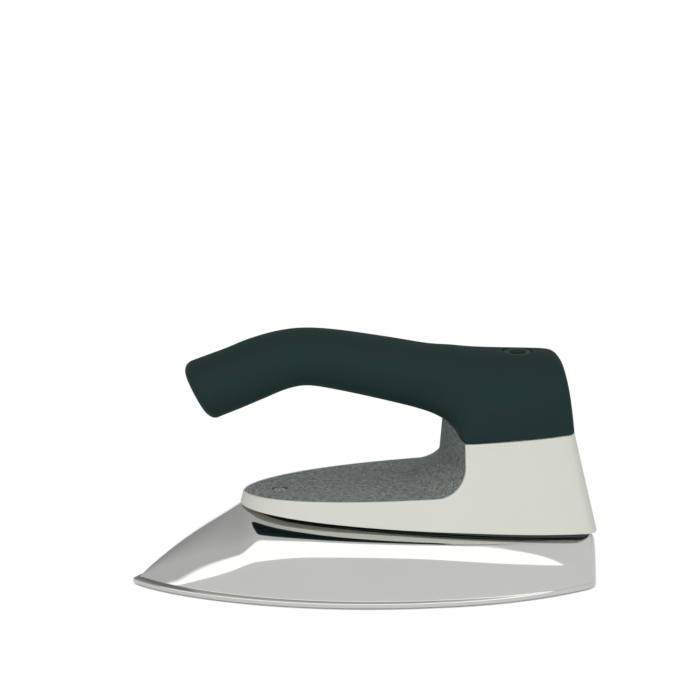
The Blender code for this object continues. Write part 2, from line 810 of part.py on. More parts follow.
def make_sensor(metal, steel):
    """Bolted temperature sensor."""
    place = (sensor_x(), 0, POCKET_FLOOR)
    bm = bmesh.new()
    add_box(bm, (-SENSOR_LENGTH / 2, -SENSOR_WIDTH / 2, GAP), (SENSOR_LENGTH / 2, SENSOR_WIDTH / 2, SENSOR_HEIGHT))
    body = finish(bm, "temperature_sensor", metal, place=place)
    bm = bmesh.new()
    add_cylinder(bm, M3_SHANK + GAP, -OVERRUN, SENSOR_HEIGHT + OVERRUN, SMALL_SIDES)
    cut(body, cutter(bm, "sensor_hole", place=place))
    seat = (sensor_x(), 0, POCKET_FLOOR + SENSOR_HEIGHT + GAP)
    make_screw("temperature_sensor_screw", M3, SENSOR_HEIGHT + SMALL_BITE, steel, seat)


def make_limiter(plastic, metal, steel, red):
    """Over-temperature limiter on its strap, with its reset button."""
    place = Vector((limiter_x(), 0, POCKET_FLOOR))
    bm = bmesh.new()
    strap_top = GAP + STRAP_THICKNESS
    add_box(bm, (-STRAP_WIDTH / 2, -STRAP_HALF_LENGTH, GAP), (STRAP_WIDTH / 2, STRAP_HALF_LENGTH, strap_top))
    strap = finish(bm, "limiter_strap", metal, place=place)
    bm = bmesh.new()
    for side in (-1, 1):
        add_cylinder(bm, M3_SHANK + GAP, -OVERRUN, OVERRUN, SMALL_SIDES, (0, side * STRAP_SCREW_OFFSET, 0))
    cut(strap, cutter(bm, "strap_holes", place=place))
    low = strap_top + GAP
    high = low + LIMITER_HEIGHT
    well = high - BUTTON_WELL
    bore = BUTTON_RADIUS + GAP
    bm = bmesh.new()
    add_turned(bm, [(0, low), (LIMITER_RADIUS, low), (LIMITER_RADIUS, high), (bore, high), (bore, well), (0, well)],
               ROUND_SIDES)
    finish(bm, "limiter_body", plastic, place=place)
    bm = bmesh.new()
    add_cylinder(bm, BUTTON_RADIUS, -BUTTON_LENGTH, 0, ROUND_SIDES)
    top = place + Vector((0, 0, high + BUTTON_RISE))
    finish(bm, "limiter_reset_button", red, place=top)
    for name, side in (("left", -1), ("right", 1)):
        seat = place + Vector((0, side * STRAP_SCREW_OFFSET, strap_top + GAP))
        make_screw("limiter_screw_" + name, M3, SMALL_BITE + strap_top, steel, seat)


def make_earth_tag(brass, steel):
    """Earth tag on the pocket's floor."""
    place = (tag_x(), 0, POCKET_FLOOR)
    bm = bmesh.new()
    top = GAP + TAG_THICKNESS
    add_box(bm, (-TAG_LENGTH / 2, -TAG_WIDTH / 2, GAP), (TAG_LENGTH / 2, TAG_WIDTH / 2, top))
    tag = finish(bm, "earth_tag", brass, place=place)
    bm = bmesh.new()
    add_cylinder(bm, M3_SHANK + GAP, -OVERRUN, OVERRUN, SMALL_SIDES)
    cut(tag, cutter(bm, "tag_hole", place=place))
    seat = (tag_x(), 0, POCKET_FLOOR + top + GAP)
    make_screw("earth_screw", M3, SMALL_BITE + top, steel, seat)


def plate_holes(name, frame, low, high):
    """Screw holes and wire slot through the plates on the seat."""
    bm = bmesh.new()
    for x, y in post_places():
        add_cylinder(bm, M4_SHANK + GAP, low - OVERRUN, high + OVERRUN, SMALL_SIDES, (x, y, 0))
    slot = HEEL_X - WIRE_SLOT_SETBACK
    add_box(bm, (slot - WIRE_SLOT_LENGTH / 2, -WIRE_SLOT_WIDTH / 2, low - OVERRUN),
            (slot + WIRE_SLOT_LENGTH / 2, WIRE_SLOT_WIDTH / 2, high + OVERRUN))
    return cutter(bm, name, frame)


def over_seat(rise):
    """Height line at an upright rise over the seat."""
    def height(x):
        return seat_height(x) + rise
    return height


def make_plates(frame, front_hole, board, metal):
    """Insulating plate on the casting and heat shield on the plate."""
    insulation, shield, spacer, _ = stack_levels()
    upright = 1 / math.cos(stack_tilt())
    low = insulation * upright
    high = (insulation + INSULATION_THICKNESS) * upright
    inset = COVER_WALL + INSULATION_CLEARANCE
    plate = finish(cover_layer(over_seat(low), over_seat(high), inset), "insulating_plate", board)
    cut(plate, plate_holes("insulation_holes", frame, insulation, shield))
    cut(plate, front_hole)
    low = shield * upright
    high = (shield + SHIELD_THICKNESS) * upright
    sheet = finish(cover_layer(over_seat(low), over_seat(high), SHIELD_INSET), "heat_shield", metal)
    cut(sheet, plate_holes("shield_holes", frame, shield, spacer))
    bm = bmesh.new()
    front = FRONT_SCREW_X + COLUMN_RADIUS + OVERRUN
    add_box(bm, (COVER_NOSE_X, -COVER_WIDTH, 0), (front, COVER_WIDTH, COVER_NOSE_HEIGHT + COVER_WIDTH))
    cut(sheet, cutter(bm, "shield_front_cutter"))


def make_bracket(frame, metal, steel, ceramic):
    """Handle bracket on its spacers, with its screws."""
    _, _, spacer, base = stack_levels()
    top = base + BRACKET_THICKNESS
    front = HEEL_X - FRONT_POST_SETBACK - BRACKET_MARGIN
    lug = HEEL_X - LUG_SETBACK
    side = FRONT_POST_OFFSET + BRACKET_MARGIN
    socket = HEEL_X - SOCKET_SETBACK
    bm = bmesh.new()
    add_box(bm, (front, -side, base), (lug, side, top))
    bracket = finish(bm, "handle_bracket", metal, frame)
    bm = bmesh.new()
    add_box(bm, (socket - SOCKET_LENGTH / 2, -SOCKET_WIDTH / 2, base + BRACKET_THICKNESS / 2),
            (socket + SOCKET_LENGTH / 2, SOCKET_WIDTH / 2, top + SOCKET_HEIGHT))
    cut(bracket, cutter(bm, "socket_block", frame), "UNION")
    bm = bmesh.new()
    add_box(bm, (lug - LUG_THICKNESS, -LUG_WIDTH / 2, base), (lug, LUG_WIDTH / 2, top + LUG_HEIGHT))
    cut(bracket, cutter(bm, "rear_lug", frame), "UNION")
    bm = bmesh.new()
    for x, y in post_places():
        add_cylinder(bm, M4_SHANK + GAP, base - OVERRUN, top + OVERRUN, SMALL_SIDES, (x, y, 0))
    slot = HEEL_X - WIRE_SLOT_SETBACK
    add_box(bm, (slot - WIRE_SLOT_LENGTH / 2, -WIRE_SLOT_WIDTH / 2, base - OVERRUN),
            (slot + WIRE_SLOT_LENGTH / 2, WIRE_SLOT_WIDTH / 2, top + OVERRUN))
    floor = top + SOCKET_HEIGHT - SOCKET_DEPTH
    add_cylinder(bm, CORE_RADIUS + GAP, floor, top + SOCKET_HEIGHT + OVERRUN, ROUND_SIDES, (socket, 0, 0))
    sideways = Matrix.Rotation(math.pi / 2, 4, "Y")
    for offset in (-REAR_SCREW_OFFSET, REAR_SCREW_OFFSET):
        add_cylinder(bm, M3_SHANK + GAP, -LUG_THICKNESS - OVERRUN, OVERRUN, SMALL_SIDES,
                     (lug, offset, top + REAR_SCREW_RISE), sideways)
    for offset in (-CORD_CLAMP_SCREW_OFFSET, CORD_CLAMP_SCREW_OFFSET):
        add_cylinder(bm, M3_SHANK + GAP, -SMALL_BITE - GAP, OVERRUN, SMALL_SIDES,
                     (socket + SOCKET_LENGTH / 2, offset, cord_clamp_height()), sideways)
    block = HEEL_X - BLOCK_SETBACK
    add_cylinder(bm, M3_SHANK + GAP, base - OVERRUN, top + OVERRUN, SMALL_SIDES, (block, 0, 0))
    cut(bracket, cutter(bm, "bracket_holes", frame))
    for index, (x, y) in enumerate(post_places(), 1):
        make_screw("bracket_screw_%d" % index, M4, top + GAP + SCREW_BITE, steel, (x, y, top + GAP), frame)
        bm = bmesh.new()
        bore = M4_SHANK + GAP
        high = SPACER_HEIGHT
        add_turned(bm, [(bore, 0), (SPACER_RADIUS, 0), (SPACER_RADIUS, high), (bore, high), (bore, 0)], SMALL_SIDES)
        finish(bm, "bracket_spacer_%d" % index, ceramic, frame, (x, y, spacer))


def cord_clamp_height():
    """Middle of the cord clamp over the seat."""
    return stack_levels()[3] + BRACKET_THICKNESS + SOCKET_HEIGHT - CORD_CLAMP_HEIGHT / 2


def make_cord_clamp(frame, plastic, steel):
    """Clamp that would grip the cord, screwed to the socket."""
    start = HEEL_X - SOCKET_SETBACK + SOCKET_LENGTH / 2
    level = cord_clamp_height()
    half = CORD_CLAMP_HEIGHT / 2
    bm = bmesh.new()
    add_box(bm, (start + GAP, -CORD_CLAMP_WIDTH / 2, level - half),
            (start + CORD_CLAMP_LENGTH, CORD_CLAMP_WIDTH / 2, level + half))
    clamp = finish(bm, "cord_clamp", plastic, frame)
    bm = bmesh.new()
    middle = (start + CORD_CLAMP_LENGTH / 2, 0, level)
    add_cylinder(bm, CORD_BORE, -half - OVERRUN, half + OVERRUN, ROUND_SIDES, middle)
    sideways = Matrix.Rotation(math.pi / 2, 4, "Y")
    for offset in (-CORD_CLAMP_SCREW_OFFSET, CORD_CLAMP_SCREW_OFFSET):
        add_cylinder(bm, M3_SHANK + GAP, -OVERRUN, CORD_CLAMP_LENGTH + OVERRUN, SMALL_SIDES,
                     (start, offset, level), sideways)
    cut(clamp, cutter(bm, "cord_clamp_holes", frame))
    for name, offset in (("left", -CORD_CLAMP_SCREW_OFFSET), ("right", CORD_CLAMP_SCREW_OFFSET)):
        seat = (start + CORD_CLAMP_LENGTH + GAP, offset, level)
        make_screw("cord_clamp_screw_" + name, M3, CORD_CLAMP_LENGTH + SMALL_BITE, steel, seat, frame,
                   (0, math.pi / 2, 0))


def terminal_offsets():
    """Place across of each terminal."""
    return [(index - (TERMINALS - 1) / 2) * TERMINAL_PITCH for index in range(TERMINALS)]


def make_terminal_block(frame, plastic, steel, brass):
    """Terminal block on the bracket, with its screws."""
    low = stack_levels()[3] + BRACKET_THICKNESS + GAP
    x = HEEL_X - BLOCK_SETBACK
    bm = bmesh.new()
    add_box(bm, (-BLOCK_LENGTH / 2, -BLOCK_WIDTH / 2, 0), (BLOCK_LENGTH / 2, BLOCK_WIDTH / 2, BLOCK_HEIGHT))
    block = finish(bm, "terminal_block", plastic, frame, (x, 0, low))
    bm = bmesh.new()
    add_cylinder(bm, M3_SHANK + GAP, -OVERRUN, BLOCK_HEIGHT + OVERRUN, SMALL_SIDES, (x, 0, low))
    for offset in terminal_offsets():
        add_cylinder(bm, M3_SHANK + GAP, BLOCK_HEIGHT - TERMINAL_SINK - GAP, BLOCK_HEIGHT + OVERRUN,
                     SMALL_SIDES, (x, offset, low))
    cut(block, cutter(bm, "terminal_holes", frame))
    seat = (x, 0, low + BLOCK_HEIGHT + GAP)
    make_screw("terminal_block_screw", M3, BLOCK_HEIGHT + BRACKET_THICKNESS, steel, seat, frame)
    for index, offset in enumerate(terminal_offsets(), 1):
        bm = bmesh.new()
        add_cylinder(bm, M3_SHANK, -TERMINAL_SINK, TERMINAL_SINK / 2, SMALL_SIDES)
        finish(bm, "terminal_screw_%d" % index, brass, frame, (x, offset, low + BLOCK_HEIGHT))


def lead_top(side, pitch_index):
    """Points of a lead from the wire slot up to its terminal."""
    base = stack_levels()[3]
    slot = HEEL_X - WIRE_SLOT_SETBACK
    face = HEEL_X - BLOCK_SETBACK - BLOCK_LENGTH / 2 - GAP
    offset = terminal_offsets()[pitch_index]
    rise = base + BRACKET_THICKNESS + BLOCK_HEIGHT / 2
    return [stack_point(face, offset, rise), stack_point(face - LEAD_RADIUS, offset, rise),
            stack_point((slot + face) / 2, (side + 2 * offset) / 3, rise),
            stack_point(slot, side, rise), stack_point(slot, side, base), stack_point(slot, side, 0)]


def add_lead(name, points, surface):
    """Lead along a smooth route."""
    bm = bmesh.new()
    run = [points[0]] + catmull_rom(points[1:-1], LEAD_STEPS) + [points[-1]]
    add_sweep(bm, run, LEAD_RADIUS, LEAD_SIDES)
    finish(bm, name, surface)


def make_leads(surfaces):
    """Leads from the terminals to the element, limiter, sensor and earth tag."""
    slot = HEEL_X - WIRE_SLOT_SETBACK
    lane = POCKET_FLOOR + LEAD_RISE
    bead = HEEL_X - ELEMENT_END_SETBACK + BEAD_LENGTH + GAP
    limiter = limiter_x() + LIMITER_RADIUS + GAP
    limiter_level = POCKET_FLOOR + LIMITER_HEIGHT / 2
    inner = LEAD_INNER_LANE
    outer = LEAD_OUTER_LANE
    loop = LEAD_LOOP
    clamps = clamp_places()

    def end_loop(side):
        """Turn from an element end back over the element."""
        y = side * ELEMENT_OFFSET
        swing = side * (pocket_reach(bead + loop) - LEAD_WALL_GAP)
        return [Vector((bead - loop, side * LEAD_SIDE_LANE, lane)),
                Vector((bead + loop / 2, swing - side * LEAD_RADIUS, lane - LEAD_RADIUS)),
                Vector((bead + loop, swing, POCKET_FLOOR + loop / 2)),
                Vector((bead + loop / 3, y, POCKET_FLOOR)),
                Vector((bead, y, POCKET_FLOOR))]

    live = lead_top(outer, 3)
    live += [Vector((slot - loop / 2, outer, lane)), Vector((clamps["front"], outer, lane)),
             Vector((limiter + loop, outer, lane - loop / 2)),
             Vector((limiter + loop / 3, outer / 2, limiter_level)), Vector((limiter, outer / 2, limiter_level))]
    add_lead("live_lead", live, surfaces["brown_lead"])

    link = [Vector((limiter, -outer / 2, limiter_level)), Vector((limiter + loop / 3, -outer / 2, limiter_level)),
            Vector((limiter + loop, -outer, lane - loop / 2)),
            Vector((limiter + 2 * loop, -2 * outer, lane)), Vector((clamps["front"] + loop, -LEAD_SIDE_LANE, lane)),
            Vector((clamps["rear"], -LEAD_SIDE_LANE, lane))]
    add_lead("limiter_lead", link + end_loop(-1), surfaces["white_lead"])

    neutral = lead_top(inner, 2)
    neutral += [Vector((slot + loop / 2, inner, lane)), Vector((slot + 2 * loop, 2 * outer, lane))]
    add_lead("neutral_lead", neutral + end_loop(1)[1:], surfaces["blue_lead"])

    earth = lead_top(-inner, 1)
    tag = tag_x() - TAG_LENGTH / 2 - GAP
    tag_level = POCKET_FLOOR + LEAD_RADIUS + TAG_THICKNESS / 2
    earth += [Vector((slot + loop / 2, -inner, lane - loop / 2)),
              Vector((tag - 2 * loop / 3, -inner, tag_level + loop / 3)),
              Vector((tag - loop / 4, -inner, tag_level)), Vector((tag, -inner, tag_level))]
    add_lead("earth_lead", earth, surfaces["green_lead"])

    sensor = lead_top(-outer, 0)
    start = sensor_x() + SENSOR_LENGTH / 2 + GAP
    sensor_level = POCKET_FLOOR + SENSOR_HEIGHT / 2
    sensor += [Vector((slot - loop / 2, -outer, lane)), Vector((start + loop, -outer, lane)),
               Vector((start + loop / 2, -outer, (lane + sensor_level) / 2)),
               Vector((start + loop / 3, -outer / 2, sensor_level)), Vector((start, -outer / 2, sensor_level))]
    add_lead("sensor_lead", sensor, surfaces["red_lead"])


def make_cover(frame, front_hole, surface):
    """Cover shell, open over its deck and under the grip."""
    cover = finish(cover_layer(base_height, seam_height, 0), "cover", surface)
    cavity = cutter(cover_layer(below_base, above_seam, COVER_WALL), "cavity_cutter")
    keep = bmesh.new()
    under = deck_height(FRONT_SCREW_X) - GUARD_THICKNESS - GAP
    half = BRIDGE_LENGTH / 2
    add_box(keep, (FRONT_SCREW_X - half, -COVER_WIDTH, under - BRIDGE_THICKNESS),
            (FRONT_SCREW_X + half, COVER_WIDTH, under + OVERRUN))
    cut(cavity, cutter(keep, "bridge_shape"))
    keep = bmesh.new()
    foot = stack_levels()[1]
    along = FRONT_SCREW_X / math.cos(stack_tilt())
    add_cylinder(keep, COLUMN_RADIUS, foot, foot + DECK_RISE, ROUND_SIDES, (along, 0, 0))
    cut(cavity, cutter(keep, "column_shape", frame))
    keep = bmesh.new()
    sideways = Matrix.Rotation(math.pi / 2, 4, "Y")
    for x, y, z in rear_screw_places():
        add_cylinder(keep, COLUMN_RADIUS, GAP, COVER_LENGTH, ROUND_SIDES, (x, y, z), sideways)
    cut(cavity, cutter(keep, "rear_boss_shapes", frame))
    cut(cover, cavity)
    cut(cover, step_cutter("front_cutter", 0))
    rebate = step_cutter("rebate_cutter", GUARD_THICKNESS + GAP)
    tool = cutter(cover_layer(below_base, above_seam, COVER_LIP), "rebate_outline")
    cut(rebate, tool, "INTERSECT")
    cut(cover, rebate)
    cut(cover, front_hole)
    bm = bmesh.new()
    bore = M3_SHANK + GAP
    recess = M3_HEAD + HEAD_RECESS_CLEARANCE
    profile = [(0, -OVERRUN), (bore, -OVERRUN), (bore, REAR_BOSS_LENGTH), (recess, REAR_BOSS_LENGTH),
               (recess, COVER_LENGTH), (0, COVER_LENGTH)]
    for place in rear_screw_places():
        add_turned(bm, profile, ROUND_SIDES, place, sideways)
    cut(cover, cutter(bm, "cover_screw_holes", frame))


def rear_screw_places():
    """Rear face of the bracket's lug at each rear screw."""
    lug = HEEL_X - LUG_SETBACK
    level = stack_levels()[3] + BRACKET_THICKNESS + REAR_SCREW_RISE
    return [(lug, -REAR_SCREW_OFFSET, level), (lug, REAR_SCREW_OFFSET, level)]


def make_cover_screws(frame, steel):
    """Screw in the deck and two screws in the rear face."""
    front = FRONT_SCREW_X
    seat = deck_height(front) - GUARD_THICKNESS
    length = seat - seat_height(front) + SCREW_BITE - GAP
    size = (M4_SHANK, M4_HEAD, FRONT_HEAD_HEIGHT)
    make_screw("front_screw", size, length, steel, (front, 0, seat))
    for name, (x, y, z) in zip(("left", "right"), rear_screw_places()):
        place = (x + REAR_BOSS_LENGTH + GAP, y, z)
        make_screw("rear_screw_" + name, M3, REAR_SCREW_LENGTH, steel, place, frame, (0, math.pi / 2, 0))


def guard_profile(offset):
    """Rows of the guard from its nose to its top: x, z, bulge and crown shares."""
    inset = COVER_LIP + GAP
    nose = cover_point(0, deck_height, inset)[0]
    rows = []
    for step in range(DECK_STATIONS):
        x = nose + (FILLET_X - nose) * (step / DECK_STATIONS) ** 2
        bulge = BULGE_FOOT_SHARE * smooth_step((x - FILLET_X) / BULGE_RUN + 1)
        rows.append((x, deck_height(x) - offset, bulge, 0))
    centre = deck_height(FILLET_X) + RISER_FILLET
    radius = RISER_FILLET + offset
    for angle in arc_angles(0, math.pi / 2, FILLET_STEPS):
        bulge = BULGE_FOOT_SHARE + (1 - BULGE_FOOT_SHARE) * math.sin(angle)
        rows.append((FILLET_X + radius * math.sin(angle), centre - radius * math.cos(angle), bulge, 0))
    rows.append((RISER_X + offset, seam_height(RISER_X) - GAP, BULGE_TOP_SHARE, 1))
    return rows


def guard_grid(bm, offset):
    """One face of the guard."""
    grid = []
    for x, z, bulge, crown in guard_profile(offset):
        reach = cover_reach(x, z, COVER_LIP + GAP)
        row = []
        for column in range(GUARD_COLUMNS + 1):
            side = 2 * column / GUARD_COLUMNS - 1
            ahead = RISER_BULGE * bulge * (1 - side ** 2)
            rise = RISER_CROWN * crown * (1 - abs(side) ** CROWN_POWER)
            fall = DECK_SLOPE * ahead if bulge < BULGE_FOOT_SHARE else 0
            row.append(bm.verts.new((x - ahead, side * reach, z + rise - fall)))
        grid.append(row)
    return grid


def guard_mesh():
    """Guard over the deck and up the riser, of even thickness."""
    bm = bmesh.new()
    outer = guard_grid(bm, 0)
    inner = guard_grid(bm, GUARD_THICKNESS)
    for grid in (outer, inner):
        for first, second in zip(grid, grid[1:]):
            for index in range(GUARD_COLUMNS):
                bm.faces.new((first[index], first[index + 1], second[index + 1], second[index]))
    for index in range(GUARD_COLUMNS):
        bm.faces.new((outer[-1][index], outer[-1][index + 1], inner[-1][index + 1], inner[-1][index]))
    for side in (0, -1):
        for row in range(len(outer) - 1):
            bm.faces.new((outer[row][side], outer[row + 1][side], inner[row + 1][side], inner[row][side]))
    for index in range(GUARD_COLUMNS):
        bm.faces.new((outer[0][index], outer[0][index + 1], inner[0][index + 1], inner[0][index]))
    return bm


def make_guard(surface):
    """Deck guard, trimmed under the grip, with a hole for the front screw."""
    guard = finish(guard_mesh(), "deck_guard", surface)
    cut(guard, cutter(grip_mesh(GAP), "grip_clearance"))
    bm = bmesh.new()
    radius = M4_HEAD + HEAD_RECESS_CLEARANCE
    level = deck_height(FRONT_SCREW_X)
    add_cylinder(bm, radius, level - GUARD_THICKNESS - OVERRUN, level + OVERRUN, ROUND_SIDES, (FRONT_SCREW_X, 0, 0))
    cut(guard, cutter(bm, "guard_screw_hole"))


def grip_stations():
    """Sections of the grip: underside, top, half width, belly and the two powers."""
    rear = cover_point(1, seam_height, GRIP_REVEAL)[0]
    start = rear - GRIP_LENGTH
    stations = []
    for low_x, low_z, top_x, top_z, spread, fullness, belly, upper, lower in GRIP_SHARES:
        low = Vector((start + low_x * GRIP_LENGTH, 0, 0))
        top = Vector((start + top_x * GRIP_LENGTH, 0, 0))
        low.z = seam_height(low.x) + GAP + low_z * GRIP_RISE
        top.z = seam_height(top.x) + top_z * GRIP_RISE
        block = cover_reach(min(low.x, rear - COVER_CORNER), seam_height(low.x), GRIP_REVEAL)
        half = BAR_WIDTH / 2 * (1 - spread) + block * spread
        stations.append(Vector((low.x, low.z, top.x, top.z, half * fullness, belly, upper, lower)))
    return stations


def grip_ring(station, inset, grow):
    """Closed section of the grip."""
    low_x, low_z, top_x, top_z, half, belly, upper, lower = station
    low = Vector((low_x, 0, low_z))
    up = Vector((top_x, 0, top_z)) - low
    height = up.length
    up = up / height
    middle = low + up * height * belly
    half = half - inset + grow
    over = height * (1 - belly) - inset + grow
    under = height * belly - inset + grow
    ring = []
    for angle in arc_angles(0, math.tau, 4 * GRIP_QUARTER)[:-1]:
        sine = math.sin(angle)
        power = 2 / (upper if sine >= 0 else lower)
        reach = over if sine >= 0 else under
        across = math.copysign(abs(math.cos(angle)) ** power, math.cos(angle))
        raised = math.copysign(abs(sine) ** power, sine)
        ring.append(middle + Vector((0, half * across, 0)) + up * reach * raised)
    return ring


def grip_mesh(grow):
    """Grip from its round front end to the rear of its block."""
    bm = bmesh.new()
    stations = grip_stations()
    run = catmull_rom(stations, GRIP_STEPS)
    first = stations[0]
    second = stations[1]
    spacing = math.hypot(second[2] - first[2], second[3] - first[3])
    rings = []
    for angle in arc_angles(0, math.pi / 2, END_STEPS)[:-1]:
        inset = GRIP_END_RADIUS * (1 - math.sin(angle))
        depth = GRIP_END_RADIUS * (1 - math.cos(angle)) / spacing
        rings.append(grip_ring(first + (second - first) * depth, inset, grow))
    rings += [grip_ring(station, 0, grow) for station in run[1:]]
    add_rings(bm, rings)
    return bm


def core_path():
    """Middle line of the handle core, from the front of the bar down into its socket."""
    stations = grip_stations()
    first, last = CORE_ROWS
    points = [Vector(((s[0] + s[2]) / 2, 0, (s[1] + s[3]) / 2)) for s in stations[first:last + 1]]
    run = catmull_rom(points, GRIP_STEPS)
    socket = HEEL_X - SOCKET_SETBACK
    top = stack_levels()[3] + BRACKET_THICKNESS + SOCKET_HEIGHT
    foot = stack_point(socket, 0, top - SOCKET_DEPTH + GAP)
    mouth = stack_point(socket, 0, top)
    start = run[-1]
    rise = (start.z - mouth.z) / (mouth.z - foot.z)
    bend = mouth + (mouth - foot) * rise * CORE_BEND_SHARE
    for step in range(1, 2 * BEND_STEPS + 1):
        t = step / (2 * BEND_STEPS)
        run.append(start * (1 - t) ** 2 + bend * 2 * t * (1 - t) + mouth * t ** 2)
    run.append(foot)
    return run


def make_core(metal):
    """Bent steel core of the handle."""
    bm = bmesh.new()
    add_sweep(bm, core_path(), CORE_RADIUS, CORE_SIDES)
    finish(bm, "handle_core", metal)


def cord_top():
    """Top of the grip where the cord comes in."""
    top = max(grip_stations(), key=lambda station: -abs(station[2] - CORD_X))
    return top[3] + (top[2] - CORD_X) * SEAM_SLOPE


def make_grip(surface, rubber):
    """Soft grip with its bores, and the bush in its cord inlet."""
    grip = finish(grip_mesh(0), "grip", surface)
    path = core_path()
    bm = bmesh.new()
    start = path[0] + (path[0] - path[1]).normalized() * GAP
    add_sweep(bm, [start] + path, CORE_RADIUS + GAP, CORE_SIDES)
    cut(grip, cutter(bm, "core_bore"))
    level = cord_top()
    bm = bmesh.new()
    bottom = seam_height(CORD_X) - OVERRUN
    ledge = level - BUSH_DEPTH
    rim = level - BUSH_SINK - BUSH_FLANGE_HEIGHT
    radius = BUSH_RADIUS + GAP
    wide = BUSH_FLANGE_RADIUS + GAP
    profile = [(0, bottom), (CORD_BORE, bottom), (CORD_BORE, ledge), (radius, ledge), (radius, rim - GAP),
               (wide, rim - GAP), (wide, level + OVERRUN), (0, level + OVERRUN)]
    add_turned(bm, profile, ROUND_SIDES, (CORD_X, 0, 0))
    cut(grip, cutter(bm, "cord_bore"))
    bm = bmesh.new()
    foot = ledge + GAP
    top = level - BUSH_SINK
    profile = [(CORD_BORE, foot), (BUSH_RADIUS, foot), (BUSH_RADIUS, rim), (BUSH_FLANGE_RADIUS, rim),
               (BUSH_FLANGE_RADIUS, top), (CORD_BORE, top), (CORD_BORE, foot)]
    add_turned(bm, profile, ROUND_SIDES)
    finish(bm, "cable_inlet_bush", rubber, place=(CORD_X, 0, 0))


def main():
    """Build the iron."""
    clear_scene()
    surfaces = {name: material(name) for name in SURFACES}
    steel = surfaces["zinc_steel"]
    dark_steel = surfaces["dark_steel"]
    brass = surfaces["brass"]
    ceramic = surfaces["ceramic"]
    plastic = surfaces["phenolic"]
    frame = stack_frame()
    front_hole = make_front_hole()
    make_sole(frame, front_hole, surfaces["polished_metal"])
    make_element(dark_steel, ceramic)
    make_clamps(dark_steel, steel)
    make_sensor(brass, steel)
    make_limiter(plastic, dark_steel, steel, surfaces["red_plastic"])
    make_earth_tag(brass, steel)
    make_plates(frame, front_hole, surfaces["insulating_board"], steel)
    make_bracket(frame, dark_steel, steel, ceramic)
    make_cord_clamp(frame, plastic, steel)
    make_terminal_block(frame, plastic, steel, brass)
    make_leads(surfaces)
    make_cover(frame, front_hole, surfaces["cover_enamel"])
    make_cover_screws(frame, steel)
    make_guard(surfaces["guard_texture"])
    make_core(dark_steel)
    make_grip(surfaces["soft_grip"], surfaces["rubber"])


main()
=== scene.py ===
"""Finish of a dry iron: a mirror polished sole, a satin shell, a pebbled deck and a soft dark handle."""
import json
import math

import bmesh
import bpy
from mathutils import Matrix, Vector


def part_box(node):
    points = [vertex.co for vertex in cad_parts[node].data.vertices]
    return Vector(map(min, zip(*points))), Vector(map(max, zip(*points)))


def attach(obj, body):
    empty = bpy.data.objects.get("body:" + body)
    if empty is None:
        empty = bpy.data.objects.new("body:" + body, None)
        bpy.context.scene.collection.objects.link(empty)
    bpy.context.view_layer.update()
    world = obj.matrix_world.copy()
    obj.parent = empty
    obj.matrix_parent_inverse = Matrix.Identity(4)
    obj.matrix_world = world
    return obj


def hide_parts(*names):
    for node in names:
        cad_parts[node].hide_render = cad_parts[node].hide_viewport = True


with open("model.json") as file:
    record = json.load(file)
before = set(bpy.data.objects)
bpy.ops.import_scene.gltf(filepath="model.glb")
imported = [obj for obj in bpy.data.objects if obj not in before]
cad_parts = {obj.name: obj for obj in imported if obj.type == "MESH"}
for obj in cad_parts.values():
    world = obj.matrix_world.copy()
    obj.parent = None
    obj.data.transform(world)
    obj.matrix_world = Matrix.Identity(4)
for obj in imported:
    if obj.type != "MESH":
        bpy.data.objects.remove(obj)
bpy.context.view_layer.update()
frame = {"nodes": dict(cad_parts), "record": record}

bl_info = {
    "name": "Dry Iron Finish",
    "version": (1, 0, 0),
    "blender": (4, 5, 0),
    "location": "View3D > Sidebar > Iron",
    "description": "Fine pieces, finishes and a photo stage for the dry iron",
    "category": "Object",
}

NODES = frame["nodes"]
SOLE_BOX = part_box("sole_plate")
COVER_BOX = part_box("cover")

# Fits
GAP = 0.0003
WELD = 0.000001

# Angles past which an edge of a piece stays hard, in degrees
NO_HARD_EDGES = 180
SHELL_HARD_ANGLE = 35
SCREW_HARD_ANGLE = 40
GRIP_HARD_ANGLE = 50
BEVEL_ANGLE = 50

# Sole casting
TIP_X = SOLE_BOX[0].x
HEEL_X = SOLE_BOX[1].x
SOLE_LENGTH = HEEL_X - TIP_X
SOLE_WIDTH = 0.102
HEEL_WIDTH = 0.0646
RIM_LOW = 0.0008
RIM_HIGH = 0.0030
FOOT_HEIGHT = 0.0036
FLANGE_WIDTH = 0.0017
CREASE_SHADE_WIDTH = 0.0006
FOOT_X = TIP_X + 0.0036
TIP_CHAMFER = 0.0070
EDGE_CHAMFER = 0.0050
HEEL_CHAMFER = 0.0040
HEEL_CORNER = 0.0050
HEEL_TOP_RADIUS = 0.0036
CREST_RISE = 0.0019
RIDGE_BLEND = 0.0030
SEAT_BLEND = 0.0008
WIDEST_SHARE = 0.635
FLANGE_FADE_SHARES = (0.72, 0.95)
CREASE_SHADE_FADE_SHARES = (0.62, 0.86)
NOSE_POWER = 2.1
NOSE_ROUNDNESS = 0.78
TAIL_POWER = 2.3
RIDGE_POWER = 0.85
# Powers of the section across and up, from the tip to the heel
SECTION_POWERS = ((1.85, 1.11), (2.29, 1.16), (1.09, 3.83), (1.16, 9.30), (2.33, 10.84), (5.07, 5.66),
                  (8.15, 0.90))
SECTION_SPREAD = 0.7

# Pocket in the casting
POCKET_FLOOR = 0.0140
POCKET_INSET = 0.0080
POCKET_FRONT_SETBACK = 0.0327
POCKET_REAR_WALL = 0.0120
POST_RADIUS = 0.0045

# Spacing of rows: above 1 they crowd towards the nose
SOLE_SPACING = 1.5
DECK_SPACING = 1.8

